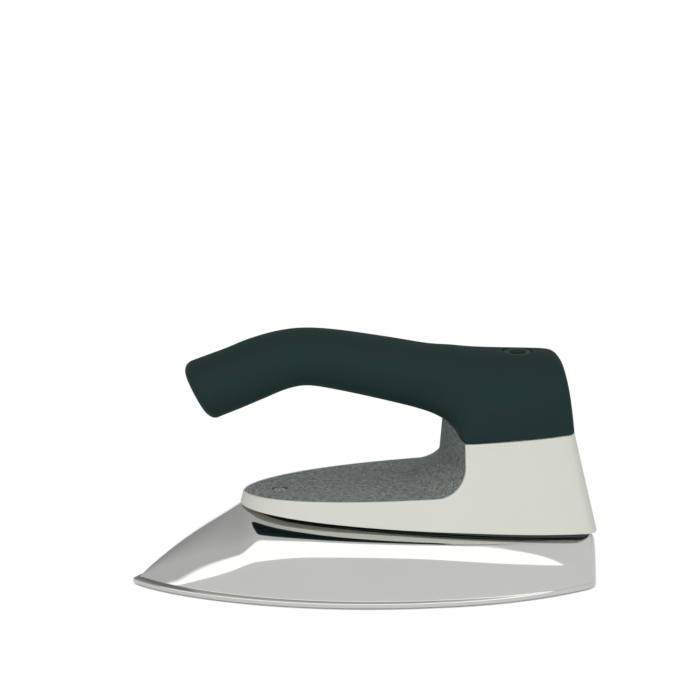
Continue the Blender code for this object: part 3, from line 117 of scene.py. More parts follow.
# Cover shell
COVER_NOSE_X = COVER_BOX[0].x
COVER_LENGTH = HEEL_X - COVER_NOSE_X
COVER_WIDTH = 0.0760
COVER_HEEL_WIDTH = 0.0640
COVER_CORNER = 0.0060
COVER_WALL = 0.0030
COVER_LIP = 0.0008
COVER_DRAFT = 0.22
COVER_NOSE_HEIGHT = 0.0410
COVER_HEEL_HEIGHT = COVER_BOX[0].z
NOSE_SLIT = 0.0005
HEEL_SLIT = 0.0030
COVER_WIDEST_SHARE = 0.7154
COVER_NOSE_POWER = 2.4
LEDGE_SHARE = 0.78
INNER_FOOT_SHARE = 0.02

# Deck, riser and seam
DECK_RISE = 0.0061
DECK_SLOPE = 0.033
SEAM_SLOPE = 0.0185
BLOCK_RISE = 0.0253
RISER_X = HEEL_X - 0.0670
RISER_FILLET = 0.0150
FILLET_X = RISER_X - RISER_FILLET
RISER_BULGE = 0.0078
RISER_CROWN = 0.0080
BULGE_RUN = 0.0300
BULGE_FOOT_SHARE = 0.80
BULGE_TOP_SHARE = 0.80
CROWN_POWER = 12
GUARD_THICKNESS = 0.0022

# Grip
GRIP_LENGTH = 0.1933
GRIP_REVEAL = 0.0004
GRIP_RISE = 0.0567
BAR_WIDTH = 0.0340
GRIP_END_RADIUS = 0.0060
GRIP_END_SHARES = (0, 0.5, 0.92)
# Each row: underside along, underside up, top along, top up, spread, fullness, belly, upper, lower
GRIP_SHARES = (
    (0.072, 0.200, 0.000, 0.685, 0.00, 1.00, 0.50, 2.2, 2.2),
    (0.112, 0.250, 0.058, 0.751, 0.00, 1.00, 0.50, 2.2, 2.2),
    (0.154, 0.302, 0.115, 0.815, 0.00, 1.00, 0.50, 2.2, 2.2),
    (0.211, 0.377, 0.174, 0.889, 0.00, 1.00, 0.50, 2.2, 2.2),
    (0.267, 0.449, 0.247, 0.949, 0.00, 1.00, 0.50, 2.2, 2.2),
    (0.319, 0.473, 0.319, 0.966, 0.00, 1.00, 0.50, 2.2, 2.2),
    (0.392, 0.423, 0.407, 0.933, 0.00, 1.00, 0.50, 2.2, 2.2),
    (0.505, 0.318, 0.531, 0.851, 0.05, 1.00, 0.50, 2.2, 2.2),
    (0.604, 0.220, 0.635, 0.774, 0.16, 1.00, 0.50, 2.2, 2.4),
    (0.655, 0.155, 0.697, 0.746, 0.34, 1.00, 0.42, 2.3, 2.9),
    (0.688, 0.085, 0.736, 0.724, 0.64, 1.00, 0.26, 2.4, 3.9),
    (0.713, 0.000, 0.774, 0.706, 0.95, 1.00, 0.02, 2.6, 10.0),
    (0.785, 0.000, 0.826, 0.691, 1.00, 1.00, 0.02, 2.6, 10.0),
    (0.912, 0.000, 0.901, 0.677, 1.00, 1.00, 0.02, 2.6, 10.0),
    (0.963, 0.000, 0.940, 0.669, 1.00, 0.98, 0.02, 2.6, 10.0),
    (0.986, 0.000, 0.961, 0.648, 1.00, 0.94, 0.02, 2.6, 10.0),
    (0.997, 0.000, 0.975, 0.598, 1.00, 0.87, 0.02, 2.6, 9.0),
    (1.000, 0.010, 0.983, 0.513, 1.00, 0.80, 0.02, 2.6, 6.0),
)

# Screws and inlet
DECK_SCREW_X = COVER_NOSE_X + 0.0197
DECK_HEAD_RADIUS = 0.0036
DECK_HOLE_RADIUS = 0.0041
BACK_HEAD_RADIUS = 0.0027
BACK_HOLE_RADIUS = 0.0032
SHANK_RADIUS = 0.0018
BACK_SHANK_SHARE = 0.8
BACK_SCREW_LENGTH = 0.0090
HEAD_HEIGHT = 0.0018
HEAD_RIM_SHARE = 0.35
HEAD_SEAT_SHARE = 0.96
HEAD_DOME_POWER = 0.8
CROSS_LENGTH_SHARE = 1.15
CROSS_WIDTH_SHARE = 0.24
CROSS_HEIGHT_SHARE = 1.4
CROSS_RISE_SHARE = 1.1
CROSS_TURN = 0.5
RECESS_SEAT = 0.0012
RECESS_REACH = 0.02
INLET_X = HEEL_X - 0.0370
BUSH_RADIUS = 0.0058
BUSH_FLANGE_RADIUS = 0.0072
BUSH_FLANGE_HEIGHT = 0.0020
BUSH_SINK = 0.0004
BUSH_DEPTH = 0.0140
BUSH_ROUND = 0.0005
CORD_BORE = 0.0042

# Counts
SOLE_STATIONS = 120
BODY_STEPS = 44
POCKET_STATIONS = 40
CORNER_STEPS = 8
COVER_NOSE_STATIONS = 60
FILLET_STEPS = 14
RISER_STATIONS = 10
SEAM_STATIONS = 22
BACK_STATIONS = 8
WALL_STEPS = 14
FIT_PASSES = 5
GUARD_COLUMNS = 32
DECK_STATIONS = 40
GRIP_STEPS = 10
GRIP_QUARTER = 18
END_STEPS = 12
TURN_SIDES = 64

# Stage
CAMERA_AZIMUTH = math.radians(-6.46)
CAMERA_ELEVATION = math.radians(15.44)
CAMERA_TARGET = (-0.0057, 0, 0.1181)
SENSOR_WIDTH = 36
FLOOR_RADIUS = 6
FLOOR_TOUCH = 0.0002
FLOOR_GLOW = 1.3
SEEN_GLOW_SHARE = 0.62
MIRRORED_GLOW_SHARE = 0.44
CONTACT_REACH = 0.008
SHADOW_REACH = 0.45
HEEL_WALL_GAIN = 0.11
FAR_WALL_LOSS = 0.38
FRONT_BOX_PLACE = (-0.35, -1.9, 0.52)
FRONT_BOX_TARGET = (-0.1, 0, 0.05)
FRONT_BOX_SIZE = (3.2, 1.0)
WHITE = (1, 1, 1, 1)
# Sides of the white wall: the way in from the side, how far out the side stands, how soft it is
WHITE_WALL_SIDES = (((0.342, -0.94, 0.1), 0, 0.03), ((-0.545, -0.84, 0.3), 0, 0.03),
                    ((-0.925, -0.167, -0.342), 0.665, 0.012))


def corner_loss(distance, radius):
    """How far a round corner draws a side in, at a distance from its end."""
    if distance >= radius:
        return 0
    return radius - math.sqrt(max(radius ** 2 - (radius - distance) ** 2, 0))


def smooth_step(value):
    """Ease from 0 to 1."""
    value = min(max(value, 0), 1)
    return value * value * (3 - 2 * value)


def soft_min(first, second, blend):
    """Lower of two heights, rounded over the blend where they meet."""
    share = min(max((second - first) / blend / 2 + 1 / 2, 0), 1)
    return second + (first - second) * share - blend * share * (1 - share)


def eased_inset(width, inset):
    """Width drawn in by the inset, but never past the middle."""
    if inset <= 0:
        return width - inset
    return width - inset * (1 - math.exp(-width / inset))


def even_steps(start, end, steps):
    """Even values from start to end."""
    return [start + (end - start) * step / steps for step in range(steps + 1)]


def between(before, first, second, after, t):
    """Vector on the smooth curve from the first to the second."""
    return (2 * first + (second - before) * t + (2 * before - 5 * first + 4 * second - after) * t ** 2
            + (3 * first - before - 3 * second + after) * t ** 3) / 2


def catmull_rom(points, steps):
    """Smooth run of vectors through the points."""
    ends = [points[0]] + list(points) + [points[-1]]
    run = []
    for span in zip(ends, ends[1:], ends[2:], ends[3:]):
        run += [between(*span, step / steps) for step in range(steps)]
    run.append(points[-1])
    return run


def rounded(before, corner, after, radius):
    """Five points in place of a corner: two on each side and one between."""
    near_share, far_share = 0.30, 0.45
    sides = []
    for other in (before, after):
        way = other - corner
        length = max(way.length, WELD)
        sides.append((corner + way * min(radius / length, near_share),
                      corner + way * min(2 * radius / length, far_share)))
    (start, first), (end, last) = sides
    return [first, start, (start + 2 * corner + end) / 4, end, last]


def base_height(x):
    """Underside of the cover."""
    share = (x - COVER_NOSE_X) / COVER_LENGTH
    return COVER_NOSE_HEIGHT + (COVER_HEEL_HEIGHT - COVER_NOSE_HEIGHT) * share


def seat_height(x):
    """Flat top of the casting, under the cover."""
    share = (x - COVER_NOSE_X) / COVER_LENGTH
    return base_height(x) - NOSE_SLIT - (HEEL_SLIT - NOSE_SLIT) * share


def deck_height(x):
    """Top of the deck guard."""
    return COVER_NOSE_HEIGHT + DECK_RISE + DECK_SLOPE * (x - COVER_NOSE_X)


def seam_height(x):
    """Seam between the cover and the grip."""
    return deck_height(RISER_X) + BLOCK_RISE + SEAM_SLOPE * (x - RISER_X)


def sole_half_width(share):
    """Half width of the sole's outline, from the tip (0) to the heel (1), inside the CAD box."""
    if share < WIDEST_SHARE:
        run = share / WIDEST_SHARE
        half = SOLE_WIDTH / 2 * (1 - (1 - run) ** NOSE_POWER) ** NOSE_ROUNDNESS
    else:
        run = (share - WIDEST_SHARE) / (1 - WIDEST_SHARE)
        half = SOLE_WIDTH / 2 - (SOLE_WIDTH - HEEL_WIDTH) / 2 * run ** TAIL_POWER
    return min(half - corner_loss((1 - share) * SOLE_LENGTH, HEEL_CORNER), SOLE_BOX[1].y)


def foot_half_width(share):
    """Half width of the body above its flange, which fades out towards the heel."""
    start, end = FLANGE_FADE_SHARES
    flange = FLANGE_WIDTH * (1 - smooth_step((share - start) / (end - start)))
    return eased_inset(sole_half_width(share), flange)


def crest_height(x):
    """Middle line of the body: the nose ridge, then the line just above the seat."""
    run = max(x - FOOT_X, 0) / (COVER_NOSE_X - FOOT_X)
    ridge = FOOT_HEIGHT + (seat_height(COVER_NOSE_X) - FOOT_HEIGHT) * run ** RIDGE_POWER
    return soft_min(ridge, seat_height(x) + CREST_RISE, RIDGE_BLEND)


def section_powers(share):
    """Powers of the body's section across and up, at a place from the tip to the heel."""
    spans = len(SECTION_POWERS) - 1
    place = share ** SECTION_SPREAD * spans
    first = min(int(place), spans - 1)
    rows = [Vector(SECTION_POWERS[min(max(index, 0), spans)]) for index in range(first - 1, first + 3)]
    return between(*rows, place - first)


def body_point(share, turn):
    """Point on one side of the body, from its foot (turn 0) to its middle line (turn 1)."""
    x = FOOT_X + share * (HEEL_X - FOOT_X)
    loss = corner_loss(HEEL_X - x, HEEL_TOP_RADIUS)
    flat, steep = section_powers(share)
    angle = math.pi / 2 * turn
    across = math.cos(angle) ** (2 / flat) if turn < 1 else 0
    height = max(crest_height(x) - loss - FOOT_HEIGHT, 0) * math.sin(angle) ** (2 / steep)
    z = soft_min(FOOT_HEIGHT + height, seat_height(x) - loss, SEAT_BLEND)
    return Vector((x, foot_half_width(share) * across, z))


def rim_point(share, z):
    """Point on the outer edge of the sole."""
    return Vector((TIP_X + share * SOLE_LENGTH, sole_half_width(share), z))


def face_point(share):
    """Point on the edge of the flat ironing face."""
    start = TIP_X + TIP_CHAMFER
    x = start + share * (HEEL_X - HEEL_CHAMFER - start)
    return Vector((x, eased_inset(sole_half_width(share), EDGE_CHAMFER), 0))


def cover_half_width(share):
    """Half width of the cover's lower edge, from its nose (0) to its heel (1)."""
    if share < COVER_WIDEST_SHARE:
        run = max(share, 0) / COVER_WIDEST_SHARE
        return COVER_WIDTH / 2 * math.sqrt(1 - (1 - run) ** COVER_NOSE_POWER)
    run = (share - COVER_WIDEST_SHARE) / (1 - COVER_WIDEST_SHARE)
    half = COVER_WIDTH / 2 - (COVER_WIDTH - COVER_HEEL_WIDTH) / 2 * run ** 2
    return half - corner_loss((1 - share) * COVER_LENGTH, COVER_CORNER)


def cover_share(x, z, inset):
    """Place along the drawn-in outline of the cover at a height."""
    pull = COVER_DRAFT * (z - base_height(x)) + inset
    return min(max((x - COVER_NOSE_X - pull) / (COVER_LENGTH - 2 * pull), 0), 1)


def cover_reach(x, z, inset):
    """Half width of the cover at a place, drawn in by the inset."""
    pull = COVER_DRAFT * (z - base_height(x)) + inset
    return eased_inset(cover_half_width(cover_share(x, z, inset)), pull)


def cover_at(share, z, inset, fullness=1):
    """Point on the cover's side at a place along its outline and a height."""
    x = COVER_NOSE_X + share * COVER_LENGTH
    for _ in range(FIT_PASSES):
        pull = COVER_DRAFT * (z - base_height(x)) + inset
        x = COVER_NOSE_X + pull + share * (COVER_LENGTH - 2 * pull)
    return Vector((x, eased_inset(cover_half_width(share), pull) * fullness, z))


# Meshes


def skin(sections):
    """Closed sheet over rows of points, made from a flat grid."""
    rows = len(sections) - 1
    columns = len(sections[0]) - 1
    bm = bmesh.new()
    bmesh.ops.create_grid(bm, x_segments=columns, y_segments=rows, size=1 / 2)
    for vert in bm.verts:
        column = round((vert.co.x + 1 / 2) * columns)
        row = round((vert.co.y + 1 / 2) * rows)
        vert.co = sections[row][column]
    bmesh.ops.remove_doubles(bm, verts=bm.verts, dist=WELD)
    bmesh.ops.dissolve_degenerate(bm, edges=bm.edges, dist=WELD)
    return bm


def turned(profile):
    """Profile of (radius, height) pairs turned round the upright axis."""
    bm = bmesh.new()
    verts = [bm.verts.new((radius, 0, height)) for radius, height in profile]
    edges = [bm.edges.new(pair) for pair in zip(verts, verts[1:])]
    bmesh.ops.spin(bm, geom=verts + edges, cent=(0, 0, 0), axis=(0, 0, 1), angle=math.tau,
                   steps=TURN_SIDES, use_merge=True)
    bmesh.ops.remove_doubles(bm, verts=bm.verts, dist=WELD)
    return bm


def smooth(mesh, hard_angle):
    """Shade a mesh smooth, with hard edges past an angle."""
    mesh.shade_smooth()
    if hard_angle < NO_HARD_EDGES:
        mesh.set_sharp_from_angle(angle=math.radians(hard_angle))


def made(bm, name, hard_angle=NO_HARD_EDGES):
    """Object of a mesh, with its faces turned outwards."""
    bmesh.ops.recalc_face_normals(bm, faces=bm.faces)
    mesh = bpy.data.meshes.new(name)
    bm.to_mesh(mesh)
    bm.free()
    smooth(mesh, hard_angle)
    obj = bpy.data.objects.new(name, mesh)
    bpy.context.scene.collection.objects.link(obj)
    return obj


def carve(obj, tools, hard_angle=SHELL_HARD_ANGLE):
    """Cut other meshes out of a piece for good."""
    for tool in tools:
        modifier = obj.modifiers.new("carve", "BOOLEAN")
        modifier.operation = "DIFFERENCE"
        modifier.solver = "MANIFOLD"
        modifier.object = tool
    bpy.context.view_layer.update()
    graph = bpy.context.evaluated_depsgraph_get()
    mesh = bpy.data.meshes.new_from_object(obj.evaluated_get(graph))
    obj.modifiers.clear()
    mesh.materials.clear()
    old = obj.data
    mesh.name = old.name
    obj.data = mesh
    bpy.data.meshes.remove(old)
    for tool in tools:
        bpy.data.objects.remove(tool, do_unlink=True)
    smooth(mesh, hard_angle)


def dress(obj, surfaces, stands_for, body="body"):
    """Give a piece its finish, the node it stands for and the body it rides on."""
    for surface in surfaces:
        obj.data.materials.append(surface)
    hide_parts(*stands_for)
    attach(obj, body)


# Node materials


class Socket:
    """One output of a material, which sums can join."""

    def __init__(self, paint, output):
        self.paint = paint
        self.output = output

    def joined(self, operation, first, second):
        return self.paint.add("ShaderNodeMath", {"operation": operation}, {0: first, 1: second})

    def __add__(self, other):
        return self.joined("ADD", self, other)

    def __sub__(self, other):
        return self.joined("SUBTRACT", self, other)

    def __rsub__(self, other):
        return self.joined("SUBTRACT", other, self)

    def __mul__(self, other):
        return self.joined("MULTIPLY", self, other)

    __radd__ = __add__
    __rmul__ = __mul__


class Paint:
    """A node tree with one way to add a node."""

    def __init__(self, tree):
        self.tree = tree
        tree.nodes.clear()

    def add(self, kind, settings=None, inputs=None, output=0):
        """New node with its settings and inputs; gives one of its outputs."""
        node = self.tree.nodes.new(kind)
        for key, value in (settings or {}).items():
            setattr(node, key, value)
        for key, value in (inputs or {}).items():
            if isinstance(value, Socket):
                self.tree.links.new(value.output, node.inputs[key])
            else:
                node.inputs[key].default_value = value
        return Socket(self, node.outputs[output])

    def place(self, scale=(1, 1, 1)):
        """Position on the piece, stretched by the scale and moved off the cell walls of the patterns."""
        spot = self.add("ShaderNodeTexCoord", output="Object")
        return self.add("ShaderNodeMapping",
                        inputs={"Vector": spot, "Scale": scale, "Location": (0.37, 0.21, 0.53)})

    def height(self, axis="Z"):
        """Height on the piece, or its place along another axis."""
        spot = self.add("ShaderNodeTexCoord", output="Object")
        return self.add("ShaderNodeSeparateXYZ", {}, {0: spot}, output=axis)

    def noise(self, place, scale, detail=2, roughness=0.5):
        """Soft random pattern with values round one half."""
        return self.add("ShaderNodeTexNoise", inputs={"Vector": place, "Scale": scale, "Detail": detail,
                                                      "Roughness": roughness})

    def blend(self, share, first, second):
        """Colour between two colours."""
        return self.add("ShaderNodeMix", {"data_type": "RGBA"}, {0: share, 6: first, 7: second}, output=2)

    def ramp(self, value, low, high):
        """Value stretched so that low gives 0 and high gives 1."""
        return self.add("ShaderNodeMapRange", {"clamp": True},
                        {"Value": value, "From Min": low, "From Max": high})

    def absolute(self, value):
        """Value without its sign."""
        return self.add("ShaderNodeMath", {"operation": "ABSOLUTE"}, {0: value})

    def bump(self, height, distance, strength=1, under=None):
        """Small relief."""
        inputs = {"Height": height, "Distance": distance, "Strength": strength}
        if under:
            inputs["Normal"] = under
        return self.add("ShaderNodeBump", inputs=inputs)

    def surface(self, varied, fixed=None):
        """Shader with its varied and fixed sockets, joined to the output."""
        shader = self.add("ShaderNodeBsdfPrincipled", inputs={**(fixed or {}), **varied}, output="BSDF")
        self.add_output(shader)

    def add_output(self, shader):
        """Join a shader to the output."""
        node = self.tree.nodes.new("ShaderNodeOutputMaterial")
        self.tree.links.new(shader.output, node.inputs["Surface"])


def linear(display):
    """Linear colour from a display colour."""
    return tuple(value ** 2.2 for value in display) + (1,)


def shade(colour, factor):
    """Lighter or darker colour."""
    return tuple(value * factor for value in colour[:3]) + (1,)


def new_paint(name):
    """Empty material and its paint."""
    material = bpy.data.materials.new(name)
    material.use_nodes = True
    return material, Paint(material.node_tree)


def polished_metal(colours):
    """Hand polished casting: nearly a mirror, with slow waves, hair scratches and a duller line of painted
    shade along the top of the flange.
    """
    material, paint = new_paint("polished_metal")
    spot = paint.place()
    tone = paint.noise(spot, 34, 3)
    hair = paint.noise(paint.place((60, 1400, 1400)), 1, 4, 0.6)
    wave = paint.noise(spot, 22, 1)
    base = linear(colours.polished)
    colour = paint.blend(tone, shade(base, 0.975), shade(base, 1.025))
    # Painted shade: a dark band along the foot of the body where the flange meets it, fading out towards the
    # heel; the band is also rougher.
    crease_shade_height = FOOT_HEIGHT - CREASE_SHADE_WIDTH / 3
    crease_shade = 1 - paint.ramp(paint.absolute(paint.height() - crease_shade_height), 0, CREASE_SHADE_WIDTH)
    start, end = [TIP_X + SOLE_LENGTH * share for share in CREASE_SHADE_FADE_SHARES]
    crease_shade = crease_shade * (1 - 0.8 * paint.ramp(paint.height("X"), start, end))
    colour = paint.blend(0.75 * crease_shade, colour, shade(base, 0.22))
    rough = 0.035 + 0.03 * paint.ramp(tone, 0.35, 0.75) + 0.05 * paint.ramp(hair, 0.62, 0.80)
    rough = rough + 0.25 * crease_shade
    relief = paint.bump(wave, 0.0004, 0.22)
    relief = paint.bump(hair, 0.0000025, 0.35, relief)
    paint.surface({"Base Color": colour, "Roughness": rough, "Normal": relief}, {"Metallic": 1})
    return material


def brushed_face(colours):
    """Ironing face, ground lengthwise."""
    material, paint = new_paint("brushed_face")
    grain = paint.noise(paint.place((30, 2600, 400)), 1, 5, 0.65)
    broad = paint.noise(paint.place((8, 160, 40)), 1, 3)
    streak = 0.6 * grain + 0.4 * broad
    base = linear(colours.brushed)
    colour = paint.blend(paint.ramp(streak, 0.35, 0.65), shade(base, 0.80), shade(base, 1.15))
    rough = 0.24 + 0.20 * grain
    relief = paint.bump(grain, 0.00003, 0.5)
    paint.surface({"Base Color": colour, "Roughness": rough, "Normal": relief}, {"Metallic": 1})
    return material


def cover_enamel(colours):
    """Satin moulded shell with a faint orange peel."""
    material, paint = new_paint("cover_enamel")
    spot = paint.place()
    tone = paint.noise(spot, 28, 3)
    peel = paint.noise(spot, 900, 2)
    fine = paint.noise(spot, 4200, 2)
    base = linear(colours.cover)
    colour = paint.blend(tone, shade(base, 0.97), shade(base, 1.02))
    rough = 0.36 + 0.10 * paint.noise(spot, 160, 3) + 0.06 * fine
    relief = paint.bump(peel, 0.00004, 0.35)
    relief = paint.bump(fine, 0.00001, 0.25, relief)
    paint.surface({"Base Color": colour, "Roughness": rough, "Normal": relief},
                  {"Specular IOR Level": 0.42})
    return material


def deck_pebble(colours):
    """Moulded guard with a fine pebbled grain, and painted shade in its recess, in other hollows and up its
    riser.
    """
    material, paint = new_paint("deck_pebble")
    spot = paint.place()
    pebble = paint.add("ShaderNodeTexVoronoi", {"feature": "SMOOTH_F1"},
                       {"Vector": spot, "Scale": 1150, "Smoothness": 0.6}, output="Distance")
    speck = paint.noise(spot, 900, 3, 0.62)
    cloud = paint.noise(spot, 420, 2)
    fleck = paint.ramp(0.72 * speck + 0.28 * cloud, 0.36, 0.64)
    base = linear(colours.deck)
    # Painted shade: the colour darkens up the riser, and through ambient occlusion in the screw recess and
    # other hollows.
    low = deck_height(FILLET_X)
    upright = paint.ramp(paint.height(), low, low + RISER_FILLET)
    recess_shade_ao = paint.add("ShaderNodeAmbientOcclusion", {"samples": 8}, {"Distance": 0.003}, output="AO")
    depth = (1 - 0.44 * upright) * (0.35 + 0.65 * paint.ramp(recess_shade_ao, 0.25, 0.85))
    colour = paint.blend(fleck, shade(base, 0.42), shade(base, 1.66))
    colour = paint.blend(depth, shade(base, 0), colour)
    rough = 0.62 + 0.24 * speck
    relief = paint.bump(pebble, 0.00022, 0.75)
    relief = paint.bump(speck, 0.00010, 0.5, relief)
    paint.surface({"Base Color": colour, "Roughness": rough, "Normal": relief},
                  {"Specular IOR Level": 0.35})
    return material


def soft_grip(colours):
    """Soft moulded skin of the handle, a little shinier where hands polish it."""
    material, paint = new_paint("soft_grip")
    spot = paint.place()
    grain = paint.noise(spot, 2600, 3, 0.6)
    cloud = paint.noise(spot, 46, 3)
    base = linear(colours.grip)
    colour = paint.blend(cloud, shade(base, 0.88), shade(base, 1.14))
    rough = 0.58 + 0.10 * cloud + 0.10 * grain
    relief = paint.bump(grain, 0.00003, 0.5)
    paint.surface({"Base Color": colour, "Roughness": rough, "Normal": relief},
                  {"Specular IOR Level": 0.13})
    return material


def plain_finish(name, colour, metallic, roughness, grain_scale, relief_depth):
    """Finish of a small or inner piece, with grain, tone and relief."""
    material, paint = new_paint(name)
    spot = paint.place()
    grain = paint.noise(spot, grain_scale, 3, 0.6)
    tone = paint.noise(spot, grain_scale / 12, 2)
    base = linear(colour)
    colour = paint.blend(0.5 * grain + 0.5 * tone, shade(base, 0.90), shade(base, 1.10))
    rough = (roughness - 0.06) + 0.12 * grain
    relief = paint.bump(grain, relief_depth, 0.5)
    paint.surface({"Base Color": colour, "Roughness": rough, "Normal": relief},
                  {"Metallic": metallic, "Specular IOR Level": 0.5 if metallic else 0.2})
    return material


# Name: display colour, metallic, roughness, grain per metre, relief
SMALL_FINISHES = {
    "zinc_steel": ((0.90, 0.97, 0.94), 1, 0.40, 1800, 0.00001),
    "dark_steel": ((0.50, 0.52, 0.51), 1, 0.42, 900, 0.00003),
    "brass": ((0.80, 0.68, 0.40), 1, 0.30, 1200, 0.00001),
    "insulating_board": ((0.09, 0.11, 0.10), 0, 0.85, 700, 0.00008),
    "ceramic": ((0.87, 0.85, 0.78), 0, 0.40, 900, 0.00002),
    "phenolic": ((0.22, 0.17, 0.13), 0, 0.45, 1100, 0.00002),
    "red_plastic": ((0.70, 0.17, 0.12), 0, 0.38, 1400, 0.00001),
    "brown_lead": ((0.38, 0.24, 0.15), 0, 0.50, 2400, 0.00002),
    "blue_lead": ((0.20, 0.35, 0.60), 0, 0.50, 2400, 0.00002),
    "green_lead": ((0.35, 0.56, 0.24), 0, 0.50, 2400, 0.00002),
    "white_lead": ((0.86, 0.85, 0.81), 0, 0.50, 2400, 0.00002),
    "red_lead": ((0.60, 0.20, 0.16), 0, 0.50, 2400, 0.00002),
}


def small_finish(name):
    """Finish of a small piece, made once."""
    return bpy.data.materials.get(name) or plain_finish(name, *SMALL_FINISHES[name])


# Sole


def sole_half_section(share, edge):
    """Points of one side of the casting, from the middle of its face up to its crest."""
    face = face_point(share)
    low = rim_point(share, RIM_LOW)
    high = rim_point(share, RIM_HIGH)
    body = [body_point(share, turn) for turn in even_steps(0, 1, BODY_STEPS)]
    foot = body[0]
    points = [Vector((face.x, 0, 0))]
    points += rounded(points[0], face, low, edge)
    points += rounded(face, low, high, edge)
    points += rounded(low, high, foot, edge)
    points += rounded(high, foot, body[2], edge)
    return points + body[2:]


def mirrored_section(points, fullness=1):
    """Whole section from one half of it, drawn in across by the fullness."""
    left = [Vector((p.x, -p.y * fullness, p.z)) for p in points]
    right = [Vector((p.x, p.y * fullness, p.z)) for p in points[::-1]]
    return left + right


def sole_sections(edge):
    """Sections of the casting from its tip to its heel, then in across the heel."""
    run = 1 - HEEL_CORNER / SOLE_LENGTH
    shares = [run * (step / SOLE_STATIONS) ** SOLE_SPACING for step in range(SOLE_STATIONS + 1)]
    shares += [run + (1 - run) * math.sin(angle) for angle in even_steps(0, math.pi / 2, CORNER_STEPS)[1:]]
    sections = [mirrored_section(sole_half_section(share, edge)) for share in shares]
    heel = sole_half_section(1, edge)
    heel_shares = (0.9, 0)
    sections += [mirrored_section(heel, share) for share in heel_shares]
    return sections


def pocket_tool():
    """Mesh of the hollow under the cover, without the four posts that stand in it."""
    places = even_steps(COVER_NOSE_X + POCKET_FRONT_SETBACK, HEEL_X - POCKET_REAR_WALL, POCKET_STATIONS)
    side = [(x, cover_reach(x, base_height(x), POCKET_INSET)) for x in places]
    outline = [(x, -y) for x, y in side] + side[::-1]
    bm = bmesh.new()
    bmesh.ops.create_circle(bm, cap_ends=True, segments=len(outline), radius=1)
    for vert, (x, y) in zip(bm.verts, outline):
        vert.co = (x, y, POCKET_FLOOR)
    raised = bmesh.ops.extrude_face_region(bm, geom=bm.faces[:])["geom"]
    bmesh.ops.translate(bm, vec=(0, 0, COVER_NOSE_HEIGHT),
                        verts=[item for item in raised if isinstance(item, bmesh.types.BMVert)])
    pocket = made(bm, "pocket_tool")
    posts = []
    for number in (1, 2, 3, 4):
        low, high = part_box("bracket_screw_" + str(number))
        post = turned([(0, 0), (POST_RADIUS, 0), (POST_RADIUS, COVER_LENGTH), (0, COVER_LENGTH)])
        bmesh.ops.translate(post, vec=((low.x + high.x) / 2, (low.y + high.y) / 2, 0), verts=post.verts)
        posts.append(made(post, "post_tool"))
    carve(pocket, posts)
    return pocket


class IRON_OT_sole(bpy.types.Operator):
    """Make the polished casting with its brushed ironing face"""
    bl_idname = "iron.sole"
    bl_label = "Sole"

    def execute(self, context):
        iron = context.scene.iron
        edge = iron.sizes.sole_edge
        sole = made(skin(sole_sections(edge)), "sole_casting")
        carve(sole, [pocket_tool()], NO_HARD_EDGES)
        for polygon in sole.data.polygons:
            flat = max(sole.data.vertices[index].co.z for index in polygon.vertices) < edge / 8
            polygon.material_index = 1 if flat else 0
        dress(sole, [polished_metal(iron.colours), brushed_face(iron.colours)],
              ["sole_plate"])
        return {"FINISHED"}


# Cover


def deck_edge_places():
    """Top edge of the cover's side seen from the side: deck, fillet, riser and seam, as x and z."""
    nose = cover_at(0, deck_height(COVER_NOSE_X), 0).x
    places = []
    for step in range(COVER_NOSE_STATIONS):
        x = nose + (FILLET_X - nose) * (step / COVER_NOSE_STATIONS) ** DECK_SPACING
        places.append((x, deck_height(x)))
    centre = deck_height(FILLET_X) + RISER_FILLET
    for angle in even_steps(-math.pi / 2, 0, FILLET_STEPS):
        places.append((FILLET_X + RISER_FILLET * math.cos(angle), centre + RISER_FILLET * math.sin(angle)))
    top = seam_height(RISER_X)
    places += [(RISER_X, z) for z in even_steps(places[-1][1], top, RISER_STATIONS)[1:]]
    return places


def cover_columns():
    """Columns of the cover's wall from its nose to the middle of its back.

    Each holds its places along the foot and along the top, the height of its top (None: at the seam), the
    thickness of its lip and its fullness across.
    """
    corner_share = 1 - COVER_CORNER / COVER_LENGTH
    columns = [[0, cover_share(x, z, 0), z, COVER_LIP, 1] for x, z in deck_edge_places()]
    riser_share = columns[-1][1]
    for share in even_steps(riser_share, corner_share, SEAM_STATIONS)[1:]:
        columns.append([0, share, None, COVER_WALL, 1])
    run = [0]
    for (_, first, low, *_), (_, second, high, *_) in zip(columns, columns[1:]):
        low = seam_height(RISER_X) if low is None else low
        high = seam_height(RISER_X) if high is None else high
        run.append(run[-1] + math.hypot((second - first) * COVER_LENGTH, high - low))
    for column, length in zip(columns, run):
        column[0] = corner_share * (length / run[-1]) if run[-1] else 0
    for angle in even_steps(0, math.pi / 2, CORNER_STEPS)[1:]:
        share = corner_share + (1 - corner_share) * math.sin(angle)
        columns.append([share, share, None, COVER_WALL, 1])
    for fullness in even_steps(1, 0, BACK_STATIONS)[1:]:
        columns.append([1, 1, None, COVER_WALL, fullness])
    return columns


def wall_point(column, height_share, inset):
    """Point of the cover's wall, from its foot (0) to its top edge (1)."""
    low_share, high_share, top, _, fullness = column
    share = low_share + (high_share - low_share) * height_share
    foot = cover_at(low_share, COVER_HEEL_HEIGHT, inset)
    foot.z = base_height(foot.x)
    if top is None:
        top = seam_height(COVER_NOSE_X + high_share * COVER_LENGTH)
        for _ in range(FIT_PASSES):
            top = seam_height(cover_at(high_share, top, inset).x)
    z = foot.z + (top - foot.z) * height_share
    if height_share == 0:
        x = COVER_NOSE_X + low_share * COVER_LENGTH
        for _ in range(FIT_PASSES):
            z = base_height(x)
            x = cover_at(low_share, z, inset).x
    return cover_at(share, z, inset, fullness)


